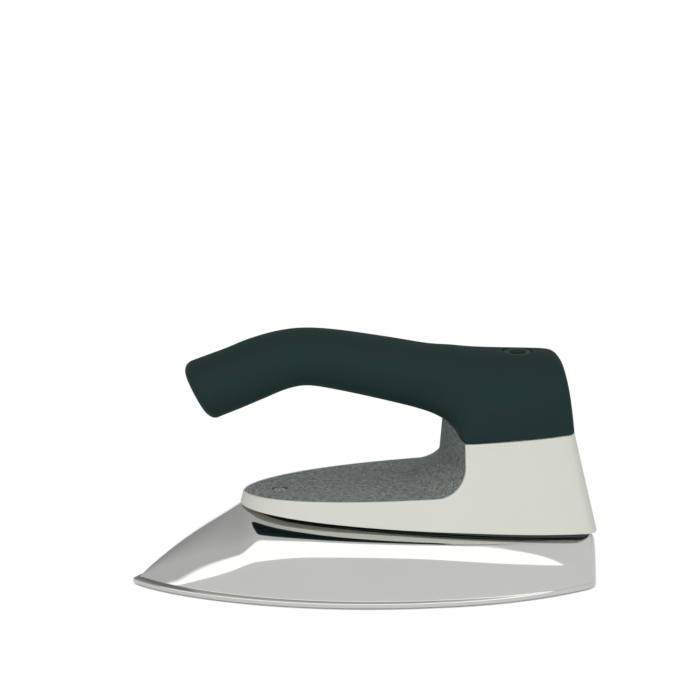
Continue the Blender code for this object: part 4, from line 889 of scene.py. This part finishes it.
def cover_section(column, edge):
    """Closed section through the cover's wall."""
    lip = column[3]
    outer = [wall_point(column, share, 0) for share in even_steps(0, 1, WALL_STEPS)]
    inner_top = wall_point(column, 1, lip)
    ledge_out = wall_point(column, LEDGE_SHARE, lip)
    ledge_in = wall_point(column, LEDGE_SHARE, COVER_WALL)
    inner_foot = wall_point(column, INNER_FOOT_SHARE, COVER_WALL)
    inner_base = wall_point(column, 0, COVER_WALL)
    foot = outer[0]
    top = outer[-1]
    points = rounded(inner_base, foot, outer[1], edge)
    points += outer[1:-1]
    points += rounded(outer[-2], top, inner_top, edge / 2)
    points += [inner_top, ledge_out, ledge_in, inner_foot, inner_base, points[0]]
    return points


def cover_sections(edge):
    """Sections of the cover all round it, from the middle of its back."""
    half = [cover_section(column, edge) for column in cover_columns()]
    left = [[Vector((p.x, -p.y, p.z)) for p in section] for section in half[::-1]]
    return left + half[1:]


def seat_tilt():
    """Slope of the seat."""
    return math.atan((seat_height(0) - seat_height(HEEL_X)) / HEEL_X)


def back_screw_places():
    """Middle of each rear screw's head on its seat, from the CAD screws."""
    places = {}
    for name in ("left", "right"):
        low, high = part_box("rear_screw_" + name)
        places[name] = Vector((high.x, (low.y + high.y) / 2, (low.z + high.z) / 2))
    return places


def back_screw_turn():
    """Turn from upright to a rear screw's axis."""
    return Matrix.Rotation(math.pi / 2 + seat_tilt(), 4, "Y")


def recess_tool(place, radius):
    """Mesh that bores a screw recess into the cover's back."""
    bm = turned([(0, -RECESS_SEAT), (radius, -RECESS_SEAT), (radius, RECESS_REACH), (0, RECESS_REACH)])
    bmesh.ops.transform(bm, matrix=Matrix.Translation(place) @ back_screw_turn(), verts=bm.verts)
    return made(bm, "recess_tool")


class IRON_OT_cover(bpy.types.Operator):
    """Make the pale shell with its lip round the deck and its two screw recesses"""
    bl_idname = "iron.cover"
    bl_label = "Cover"

    def execute(self, context):
        iron = context.scene.iron
        cover = made(skin(cover_sections(iron.sizes.cover_edge)), "cover_shell")
        carve(cover, [recess_tool(place, BACK_HOLE_RADIUS) for place in back_screw_places().values()])
        dress(cover, [cover_enamel(iron.colours)], ["cover"])
        return {"FINISHED"}


# Deck guard


def guard_rows(offset):
    """Rows of the guard from its nose to its top: x, z, bulge and crown shares."""
    inset = COVER_LIP + GAP
    nose = cover_at(0, deck_height(COVER_NOSE_X), inset).x
    rows = []
    for step in range(DECK_STATIONS):
        x = nose + (FILLET_X - nose) * (step / DECK_STATIONS) ** DECK_SPACING
        bulge = BULGE_FOOT_SHARE * smooth_step((x - FILLET_X) / BULGE_RUN + 1)
        rows.append((x, deck_height(x) - offset, bulge, 0))
    centre = deck_height(FILLET_X) + RISER_FILLET
    radius = RISER_FILLET + offset
    for angle in even_steps(0, math.pi / 2, FILLET_STEPS):
        bulge = BULGE_FOOT_SHARE + (1 - BULGE_FOOT_SHARE) * math.sin(angle)
        rows.append((FILLET_X + radius * math.sin(angle), centre - radius * math.cos(angle), bulge, 0))
    low = rows[-1][1]
    high = seam_height(RISER_X) - GAP
    for step in range(1, RISER_STATIONS + 1):
        share = step / RISER_STATIONS
        bulge = 1 + (BULGE_TOP_SHARE - 1) * share
        rows.append((RISER_X + offset, low + (high - low) * share, bulge, share))
    return rows


def guard_row(row):
    """Points across the guard at one row."""
    x, z, bulge, crown = row
    reach = cover_reach(x, z, COVER_LIP + GAP)
    points = []
    for side in even_steps(-1, 1, GUARD_COLUMNS):
        side = math.sin(side * math.pi / 2)
        ahead = RISER_BULGE * bulge * (1 - side ** 2)
        rise = RISER_CROWN * crown * (1 - abs(side) ** CROWN_POWER)
        fall = DECK_SLOPE * ahead if bulge < BULGE_FOOT_SHARE else 0
        points.append(Vector((x - ahead, side * reach, z + rise - fall)))
    return points


class IRON_OT_deck(bpy.types.Operator):
    """Make the dark guard over the deck and up the riser"""
    bl_idname = "iron.deck"
    bl_label = "Deck"

    def execute(self, context):
        iron = context.scene.iron
        outer = [guard_row(row) for row in guard_rows(0)]
        inner = [guard_row(row) for row in guard_rows(GUARD_THICKNESS)]
        bm = skin([top + under[::-1] + [top[0]] for top, under in zip(outer, inner)])
        bmesh.ops.holes_fill(bm, edges=[edge for edge in bm.edges if edge.is_boundary], sides=0)
        deck = made(bm, "deck_pad")
        low = deck_height(DECK_SCREW_X) - GUARD_THICKNESS * 2
        hole = turned([(0, low), (DECK_HOLE_RADIUS, low), (DECK_HOLE_RADIUS, low * 2), (0, low * 2)])
        bmesh.ops.translate(hole, vec=(DECK_SCREW_X, 0, 0), verts=hole.verts)
        carve(deck, [made(hole, "hole_tool"), made(grip_skin(GAP), "grip_tool")])
        bevel = deck.modifiers.new("edge", "BEVEL")
        bevel.width = iron.sizes.deck_edge
        bevel.segments = 2
        bevel.limit_method = "ANGLE"
        bevel.angle_limit = math.radians(BEVEL_ANGLE)
        dress(deck, [deck_pebble(iron.colours)], ["deck_guard"])
        return {"FINISHED"}


# Grip


def grip_stations():
    """Sections of the grip: underside, top, half width, belly and the two powers."""
    rear = COVER_NOSE_X + COVER_LENGTH
    for _ in range(FIT_PASSES):
        rear = cover_at(1, seam_height(rear), GRIP_REVEAL).x
    start = rear - GRIP_LENGTH
    stations = []
    for low_x, low_z, top_x, top_z, spread, fullness, belly, upper, lower in GRIP_SHARES:
        low = Vector((start + low_x * GRIP_LENGTH, 0, 0))
        top = Vector((start + top_x * GRIP_LENGTH, 0, 0))
        low.z = seam_height(low.x) + GAP + low_z * GRIP_RISE
        top.z = seam_height(top.x) + top_z * GRIP_RISE
        block = cover_reach(min(low.x, rear - COVER_CORNER), seam_height(low.x), GRIP_REVEAL)
        half = BAR_WIDTH / 2 * (1 - spread) + block * spread
        stations.append(Vector((low.x, low.z, top.x, top.z, half * fullness, belly, upper, lower)))
    return stations


def grip_ring(station, inset, grow):
    """Closed section of the grip."""
    low_x, low_z, top_x, top_z, half, belly, upper, lower = station
    low = Vector((low_x, 0, low_z))
    up = Vector((top_x, 0, top_z)) - low
    height = up.length
    up = up / height
    middle = low + up * height * belly
    half = half - inset + grow
    over = height * (1 - belly) - inset + grow
    under = height * belly - inset + grow
    ring = []
    for angle in even_steps(0, math.tau, 4 * GRIP_QUARTER):
        sine = math.sin(angle)
        power = 2 / (upper if sine >= 0 else lower)
        reach = over if sine >= 0 else under
        across = math.copysign(abs(math.cos(angle)) ** power, math.cos(angle))
        raised = math.copysign(abs(sine) ** power, sine)
        ring.append(middle + Vector((0, half * across, 0)) + up * reach * raised)
    return ring


def shrunk(ring, share):
    """Section drawn in towards its middle."""
    middle = sum(ring[:-1], Vector()) / (len(ring) - 1)
    return [middle + (point - middle) * share for point in ring]


def grip_skin(grow):
    """Skin of the grip from its round front end to the back of its block."""
    stations = grip_stations()
    run = catmull_rom(stations, GRIP_STEPS)
    first, second = stations[:2]
    spacing = math.hypot(second[2] - first[2], second[3] - first[3])
    rings = []
    for angle in even_steps(0, math.pi / 2, END_STEPS)[:-1]:
        inset = GRIP_END_RADIUS * (1 - math.sin(angle))
        depth = GRIP_END_RADIUS * (1 - math.cos(angle)) / spacing
        rings.append(grip_ring(first + (second - first) * depth, inset, grow))
    ahead = GRIP_END_RADIUS / spacing
    rings += [grip_ring(station, 0, grow) for index, station in enumerate(run) if index / GRIP_STEPS > ahead]
    front = [shrunk(rings[0], share) for share in GRIP_END_SHARES]
    back = [shrunk(rings[-1], share) for share in GRIP_END_SHARES[::-1]]
    return skin(front + rings + back)


def inlet_top():
    """Top of the grip where the cord comes in."""
    top = min(grip_stations(), key=lambda station: abs(station[2] - INLET_X))
    return top[3] + (top[2] - INLET_X) * SEAM_SLOPE


class IRON_OT_grip(bpy.types.Operator):
    """Make the soft handle with its cord bore"""
    bl_idname = "iron.grip"
    bl_label = "Grip"

    def execute(self, context):
        iron = context.scene.iron
        grip = made(grip_skin(0), "handle_grip")
        level = inlet_top()
        rim = level - BUSH_SINK - BUSH_FLANGE_HEIGHT - GAP
        ledge = level - BUSH_DEPTH
        bottom = seam_height(INLET_X) - BUSH_DEPTH
        top = level + BUSH_DEPTH
        neck = BUSH_RADIUS + GAP
        mouth = BUSH_FLANGE_RADIUS + GAP
        bore = turned([(0, bottom), (CORD_BORE, bottom), (CORD_BORE, ledge), (neck, ledge), (neck, rim),
                       (mouth, rim), (mouth, top), (0, top)])
        bmesh.ops.translate(bore, vec=(INLET_X, 0, 0), verts=bore.verts)
        carve(grip, [made(bore, "bore_tool")], GRIP_HARD_ANGLE)
        dress(grip, [soft_grip(iron.colours)], ["grip"])
        return {"FINISHED"}


# Small pieces


def bush_profile():
    """Section of the bush, with rounded rims."""
    level = inlet_top()
    foot = level - BUSH_DEPTH + GAP
    rim = level - BUSH_SINK - BUSH_FLANGE_HEIGHT
    top = level - BUSH_SINK
    outer = [(BUSH_RADIUS, foot), (BUSH_RADIUS, rim), (BUSH_FLANGE_RADIUS, rim),
             (BUSH_FLANGE_RADIUS, top - BUSH_ROUND),
             (BUSH_FLANGE_RADIUS - BUSH_ROUND / 3, top - BUSH_ROUND / 3),
             (BUSH_FLANGE_RADIUS - BUSH_ROUND, top)]
    inner = [(CORD_BORE + 2 * BUSH_ROUND, top), (CORD_BORE + BUSH_ROUND / 2, top - BUSH_ROUND / 2),
             (CORD_BORE, top - 2 * BUSH_ROUND)]
    return [(CORD_BORE, foot)] + outer + inner + [(CORD_BORE, foot)]


class IRON_OT_bush(bpy.types.Operator):
    """Make the soft bush of the cord inlet, in the handle's own finish"""
    bl_idname = "iron.bush"
    bl_label = "Inlet bush"

    def execute(self, context):
        bm = turned(bush_profile())
        bmesh.ops.translate(bm, vec=(INLET_X, 0, 0), verts=bm.verts)
        bush = made(bm, "inlet_bush", GRIP_HARD_ANGLE)
        finish = bpy.data.materials.get("soft_grip") or soft_grip(context.scene.iron.colours)
        dress(bush, [finish], ["cable_inlet_bush"])
        return {"FINISHED"}


def screw_bm(head, height, shank, length):
    """Pan head screw with a domed head, seated at height 0."""
    rim = height * HEAD_RIM_SHARE
    profile = [(0, -length), (shank, -length), (shank, 0), (head * HEAD_SEAT_SHARE, 0), (head, rim)]
    for angle in even_steps(0, math.pi / 2, CORNER_STEPS):
        profile.append((head * math.cos(angle) ** HEAD_DOME_POWER, rim + (height - rim) * math.sin(angle)))
    return turned(profile)


def cross_tool(head, height, matrix):
    """Mesh of a cross recess in a screw head."""
    bm = bmesh.new()
    for turn in (0, math.pi / 2):
        size = Matrix.Diagonal((head * CROSS_LENGTH_SHARE, head * CROSS_WIDTH_SHARE,
                                height * CROSS_HEIGHT_SHARE, 1))
        place = Matrix.Translation((0, 0, height * CROSS_RISE_SHARE))
        bmesh.ops.create_cube(bm, size=1, matrix=Matrix.Rotation(turn, 4, "Z") @ place @ size)
    bmesh.ops.transform(bm, matrix=matrix, verts=bm.verts)
    return bm


def make_screw(name, head, shank, length, matrix, node):
    """Screw with a cross recess, in place of a CAD screw."""
    bm = screw_bm(head, HEAD_HEIGHT, shank, length)
    bmesh.ops.transform(bm, matrix=matrix, verts=bm.verts)
    screw = made(bm, name, SCREW_HARD_ANGLE)
    carve(screw, [made(cross_tool(head, HEAD_HEIGHT, matrix), "cross_tool")], SCREW_HARD_ANGLE)
    dress(screw, [small_finish("zinc_steel")], [node])


class IRON_OT_screws(bpy.types.Operator):
    """Make the screw in the deck and the two in the back"""
    bl_idname = "iron.screws"
    bl_label = "Screws"

    def execute(self, context):
        low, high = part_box("front_screw")
        seat = high.z - HEAD_HEIGHT
        place = Matrix.Translation((DECK_SCREW_X, 0, seat)) @ Matrix.Rotation(CROSS_TURN, 4, "Z")
        make_screw("deck_screw", DECK_HEAD_RADIUS, SHANK_RADIUS, seat - low.z, place, "front_screw")
        shank = SHANK_RADIUS * BACK_SHANK_SHARE
        for name, middle in back_screw_places().items():
            place = Matrix.Translation(middle) @ back_screw_turn() @ Matrix.Translation((0, 0, -HEAD_HEIGHT))
            make_screw("back_screw_" + name, BACK_HEAD_RADIUS, shank, BACK_SCREW_LENGTH, place,
                       "rear_screw_" + name)
        return {"FINISHED"}


class IRON_OT_inner_finish(bpy.types.Operator):
    """Give each CAD solid that stays its own finish"""
    bl_idname = "iron.inner_finish"
    bl_label = "Inner pieces"

    def execute(self, context):
        slots = {entry["node"]: entry["material_slot"] for entry in frame["record"]["subparts"]}
        for name, node in NODES.items():
            if slots[name] in SMALL_FINISHES:
                node.data.materials.clear()
                node.data.materials.append(small_finish(slots[name]))
        return {"FINISHED"}


# Stage


def floor_material():
    """White floor that keeps a shadow by the iron, is plain white further off and is clear from below."""
    material, paint = new_paint("floor")
    spot = paint.add("ShaderNodeTexCoord", output="Object")
    reach = paint.add("ShaderNodeVectorMath", {"operation": "LENGTH"}, {0: spot}, output="Value")
    seen = paint.add("ShaderNodeLightPath", output="Is Camera Ray")
    mirrored = paint.add("ShaderNodeLightPath", output="Is Glossy Ray")
    matt = paint.add("ShaderNodeBsdfPrincipled", {}, {"Base Color": (0.80, 0.80, 0.80, 1), "Roughness": 0.9,
                                                     "Specular IOR Level": 0.1}, output="BSDF")
    bright = paint.add("ShaderNodeEmission", {}, {"Color": WHITE, "Strength": FLOOR_GLOW})
    plain = paint.add("ShaderNodeEmission", {}, {"Color": WHITE, "Strength": 1.0})
    open_sky = paint.add("ShaderNodeAmbientOcclusion", {"samples": 12}, {"Distance": CONTACT_REACH},
                         output="AO")
    lift = (SEEN_GLOW_SHARE * seen + MIRRORED_GLOW_SHARE * mirrored) * paint.ramp(open_sky, 0.05, 0.60)
    near = paint.add("ShaderNodeMixShader", {}, {0: lift, 1: matt, 2: bright})
    far = paint.add("ShaderNodeMapRange", {"interpolation_type": "SMOOTHSTEP"},
                    {"Value": reach, "From Min": SHADOW_REACH / 2, "From Max": SHADOW_REACH})
    whole = paint.add("ShaderNodeMixShader", {}, {0: far * seen, 1: near, 2: plain})
    beneath = paint.add("ShaderNodeNewGeometry", output="Backfacing")
    travel = paint.add("ShaderNodeLightPath", output="Ray Length")
    above = (1 - beneath) * paint.ramp(travel, FLOOR_TOUCH / 2, FLOOR_TOUCH)
    clear = paint.add("ShaderNodeBsdfTransparent", output="BSDF")
    paint.add_output(paint.add("ShaderNodeMixShader", {}, {0: above, 1: clear, 2: whole}))
    return material


def make_world(light):
    """Studio round the iron: a white wall in front and overhead, greyer walls, white to the camera."""
    world = bpy.data.worlds.new("studio")
    world.use_nodes = True
    paint = Paint(world.node_tree)
    way = paint.add("ShaderNodeTexCoord", output="Generated")
    inside = 1
    for side, offset, softness in WHITE_WALL_SIDES:
        ahead = paint.add("ShaderNodeVectorMath", {"operation": "DOT_PRODUCT"}, {0: way, 1: side},
                          output="Value")
        inside = inside * paint.ramp(ahead + offset, -softness, softness)
    across, along = [paint.add("ShaderNodeSeparateXYZ", {}, {0: way}, output=axis) for axis in ("X", "Y")]
    grey = light.grey_wall + HEEL_WALL_GAIN * across - FAR_WALL_LOSS * paint.ramp(along, 0, 1)
    level = grey + (light.white_wall - grey) * inside
    seen = paint.add("ShaderNodeLightPath", output="Is Camera Ray")
    mirrored = paint.add("ShaderNodeLightPath", output="Is Glossy Ray")
    matt = light.matt_share * (1 + light.side_lean * across)
    strength = level * (matt + (1 - matt) * mirrored)
    strength = strength + (1 - strength) * seen
    background = paint.add("ShaderNodeBackground", {}, {"Color": WHITE, "Strength": strength})
    node = paint.tree.nodes.new("ShaderNodeOutputWorld")
    paint.tree.links.new(background.output, node.inputs["Surface"])
    bpy.context.scene.world = world


def soft_box(name, place, target, size, power):
    """Soft lamp turned towards a point, which neither the camera nor a mirror sees."""
    lamp = bpy.data.lights.new(name, "AREA")
    lamp.shape = "RECTANGLE"
    lamp.size, lamp.size_y = size
    lamp.energy = power
    obj = bpy.data.objects.new(name, lamp)
    obj.location = place
    obj.rotation_euler = (Vector(target) - Vector(place)).to_track_quat("-Z", "Y").to_euler()
    obj.visible_camera = False
    obj.visible_glossy = False
    bpy.context.scene.collection.objects.link(obj)


class IRON_OT_stage(bpy.types.Operator):
    """Set the pale floor, the soft studio light and the camera at the photo's angle"""
    bl_idname = "iron.stage"
    bl_label = "Stage"

    def execute(self, context):
        light = context.scene.iron.light
        bm = bmesh.new()
        bmesh.ops.create_circle(bm, cap_ends=True, segments=TURN_SIDES, radius=FLOOR_RADIUS)
        floor = made(bm, "floor")
        floor.data.materials.append(floor_material())
        make_world(light)
        soft_box("front_box", FRONT_BOX_PLACE, FRONT_BOX_TARGET, FRONT_BOX_SIZE, light.front_power)
        camera = bpy.data.cameras.new("camera")
        camera.sensor_width = SENSOR_WIDTH
        camera.lens = light.lens
        view = bpy.data.objects.new("camera", camera)
        away = Vector((math.sin(CAMERA_AZIMUTH) * math.cos(CAMERA_ELEVATION),
                       -math.cos(CAMERA_AZIMUTH) * math.cos(CAMERA_ELEVATION), math.sin(CAMERA_ELEVATION)))
        view.location = Vector(CAMERA_TARGET) + away * light.camera_distance
        view.rotation_euler = (-away).to_track_quat("-Z", "Y").to_euler()
        context.scene.collection.objects.link(view)
        context.scene.camera = view
        context.scene.view_settings.view_transform = "Standard"
        return {"FINISHED"}


# Add-on


def colour_property(name, description, default):
    """Display colour that a user can change."""
    return bpy.props.FloatVectorProperty(name=name, description=description, default=default,
                                         subtype="COLOR_GAMMA", size=3, min=0, max=1)


def amount_property(name, description, default, **limits):
    """Plain number that a user can change."""
    return bpy.props.FloatProperty(name=name, description=description, default=default, **limits)


def length_property(name, description, default):
    """Length that a user can change."""
    return bpy.props.FloatProperty(name=name, description=description, default=default, unit="LENGTH",
                                   subtype="DISTANCE", min=0, precision=5)


class IronSizes(bpy.types.PropertyGroup):
    """Sizes of the iron's fine edges"""
    sole_edge: length_property("Sole edge", "Rounding of the casting's edges", 0.0003)
    cover_edge: length_property("Cover edge", "Rounding of the shell's lower edge", 0.0008)
    deck_edge: length_property("Deck edge", "Rounding of the deck guard's edges", 0.0003)


class IronColours(bpy.types.PropertyGroup):
    """Colours of the iron"""
    polished: colour_property("Polished metal", "Mirror polished casting", (0.78, 0.785, 0.77))
    brushed: colour_property("Brushed face", "Ground ironing face", (0.68, 0.70, 0.69))
    cover: colour_property("Cover", "Pale shell", (0.805, 0.81, 0.775))
    deck: colour_property("Deck", "Pebbled guard", (0.495, 0.525, 0.508))
    grip: colour_property("Grip", "Soft dark handle", (0.120, 0.187, 0.184))


class IronLight(bpy.types.PropertyGroup):
    """Light and camera of the stage"""
    front_power: bpy.props.FloatProperty(name="Front box", description="Power of the front lamp",
                                         default=12, min=0, unit="POWER")
    white_wall: amount_property("White wall", "Brightness of the white wall", 1.75, min=0)
    grey_wall: amount_property("Grey wall", "Brightness of the other walls", 0.80, min=0)
    matt_share: amount_property("Matt share", "Share of the walls' light on matt surfaces", 0.60,
                                min=0, max=1)
    side_lean: amount_property("Side lean", "How much brighter matt light is from the heel", 0.10,
                               min=-1, max=1)
    lens: bpy.props.FloatProperty(name="Lens", description="Focal length of the camera", default=125.1,
                                  min=1, unit="CAMERA")
    camera_distance: length_property("Camera distance", "From the camera to its target", 1.2)


class IronSettings(bpy.types.PropertyGroup):
    """All settings of the iron"""
    sizes: bpy.props.PointerProperty(type=IronSizes)
    colours: bpy.props.PointerProperty(type=IronColours)
    light: bpy.props.PointerProperty(type=IronLight)


OPERATORS = (IRON_OT_sole, IRON_OT_cover, IRON_OT_deck, IRON_OT_grip, IRON_OT_bush, IRON_OT_screws,
             IRON_OT_inner_finish, IRON_OT_stage)


class IRON_PT_panel(bpy.types.Panel):
    """Buttons that make each piece, and the settings"""
    bl_label = "Iron"
    bl_idname = "IRON_PT_panel"
    bl_space_type = "VIEW_3D"
    bl_region_type = "UI"
    bl_category = "Iron"

    def draw(self, context):
        iron = context.scene.iron
        for operator in OPERATORS:
            self.layout.operator(operator.bl_idname)
        for group in (iron.sizes, iron.colours, iron.light):
            box = self.layout.box()
            for name in group.__annotations__:
                box.prop(group, name)


CLASSES = (IronSizes, IronColours, IronLight, IronSettings) + OPERATORS + (IRON_PT_panel,)


def register():
    """Register the classes and the settings."""
    for item in CLASSES:
        bpy.utils.register_class(item)
    bpy.types.Scene.iron = bpy.props.PointerProperty(type=IronSettings)


def unregister():
    """Remove the settings and the classes."""
    del bpy.types.Scene.iron
    for item in reversed(CLASSES):
        bpy.utils.unregister_class(item)


def main():
    """Make every piece."""
    register()
    for operator in OPERATORS:
        group, name = operator.bl_idname.split(".")
        getattr(getattr(bpy.ops, group), name)()


if __name__ == "__main__":
    main()
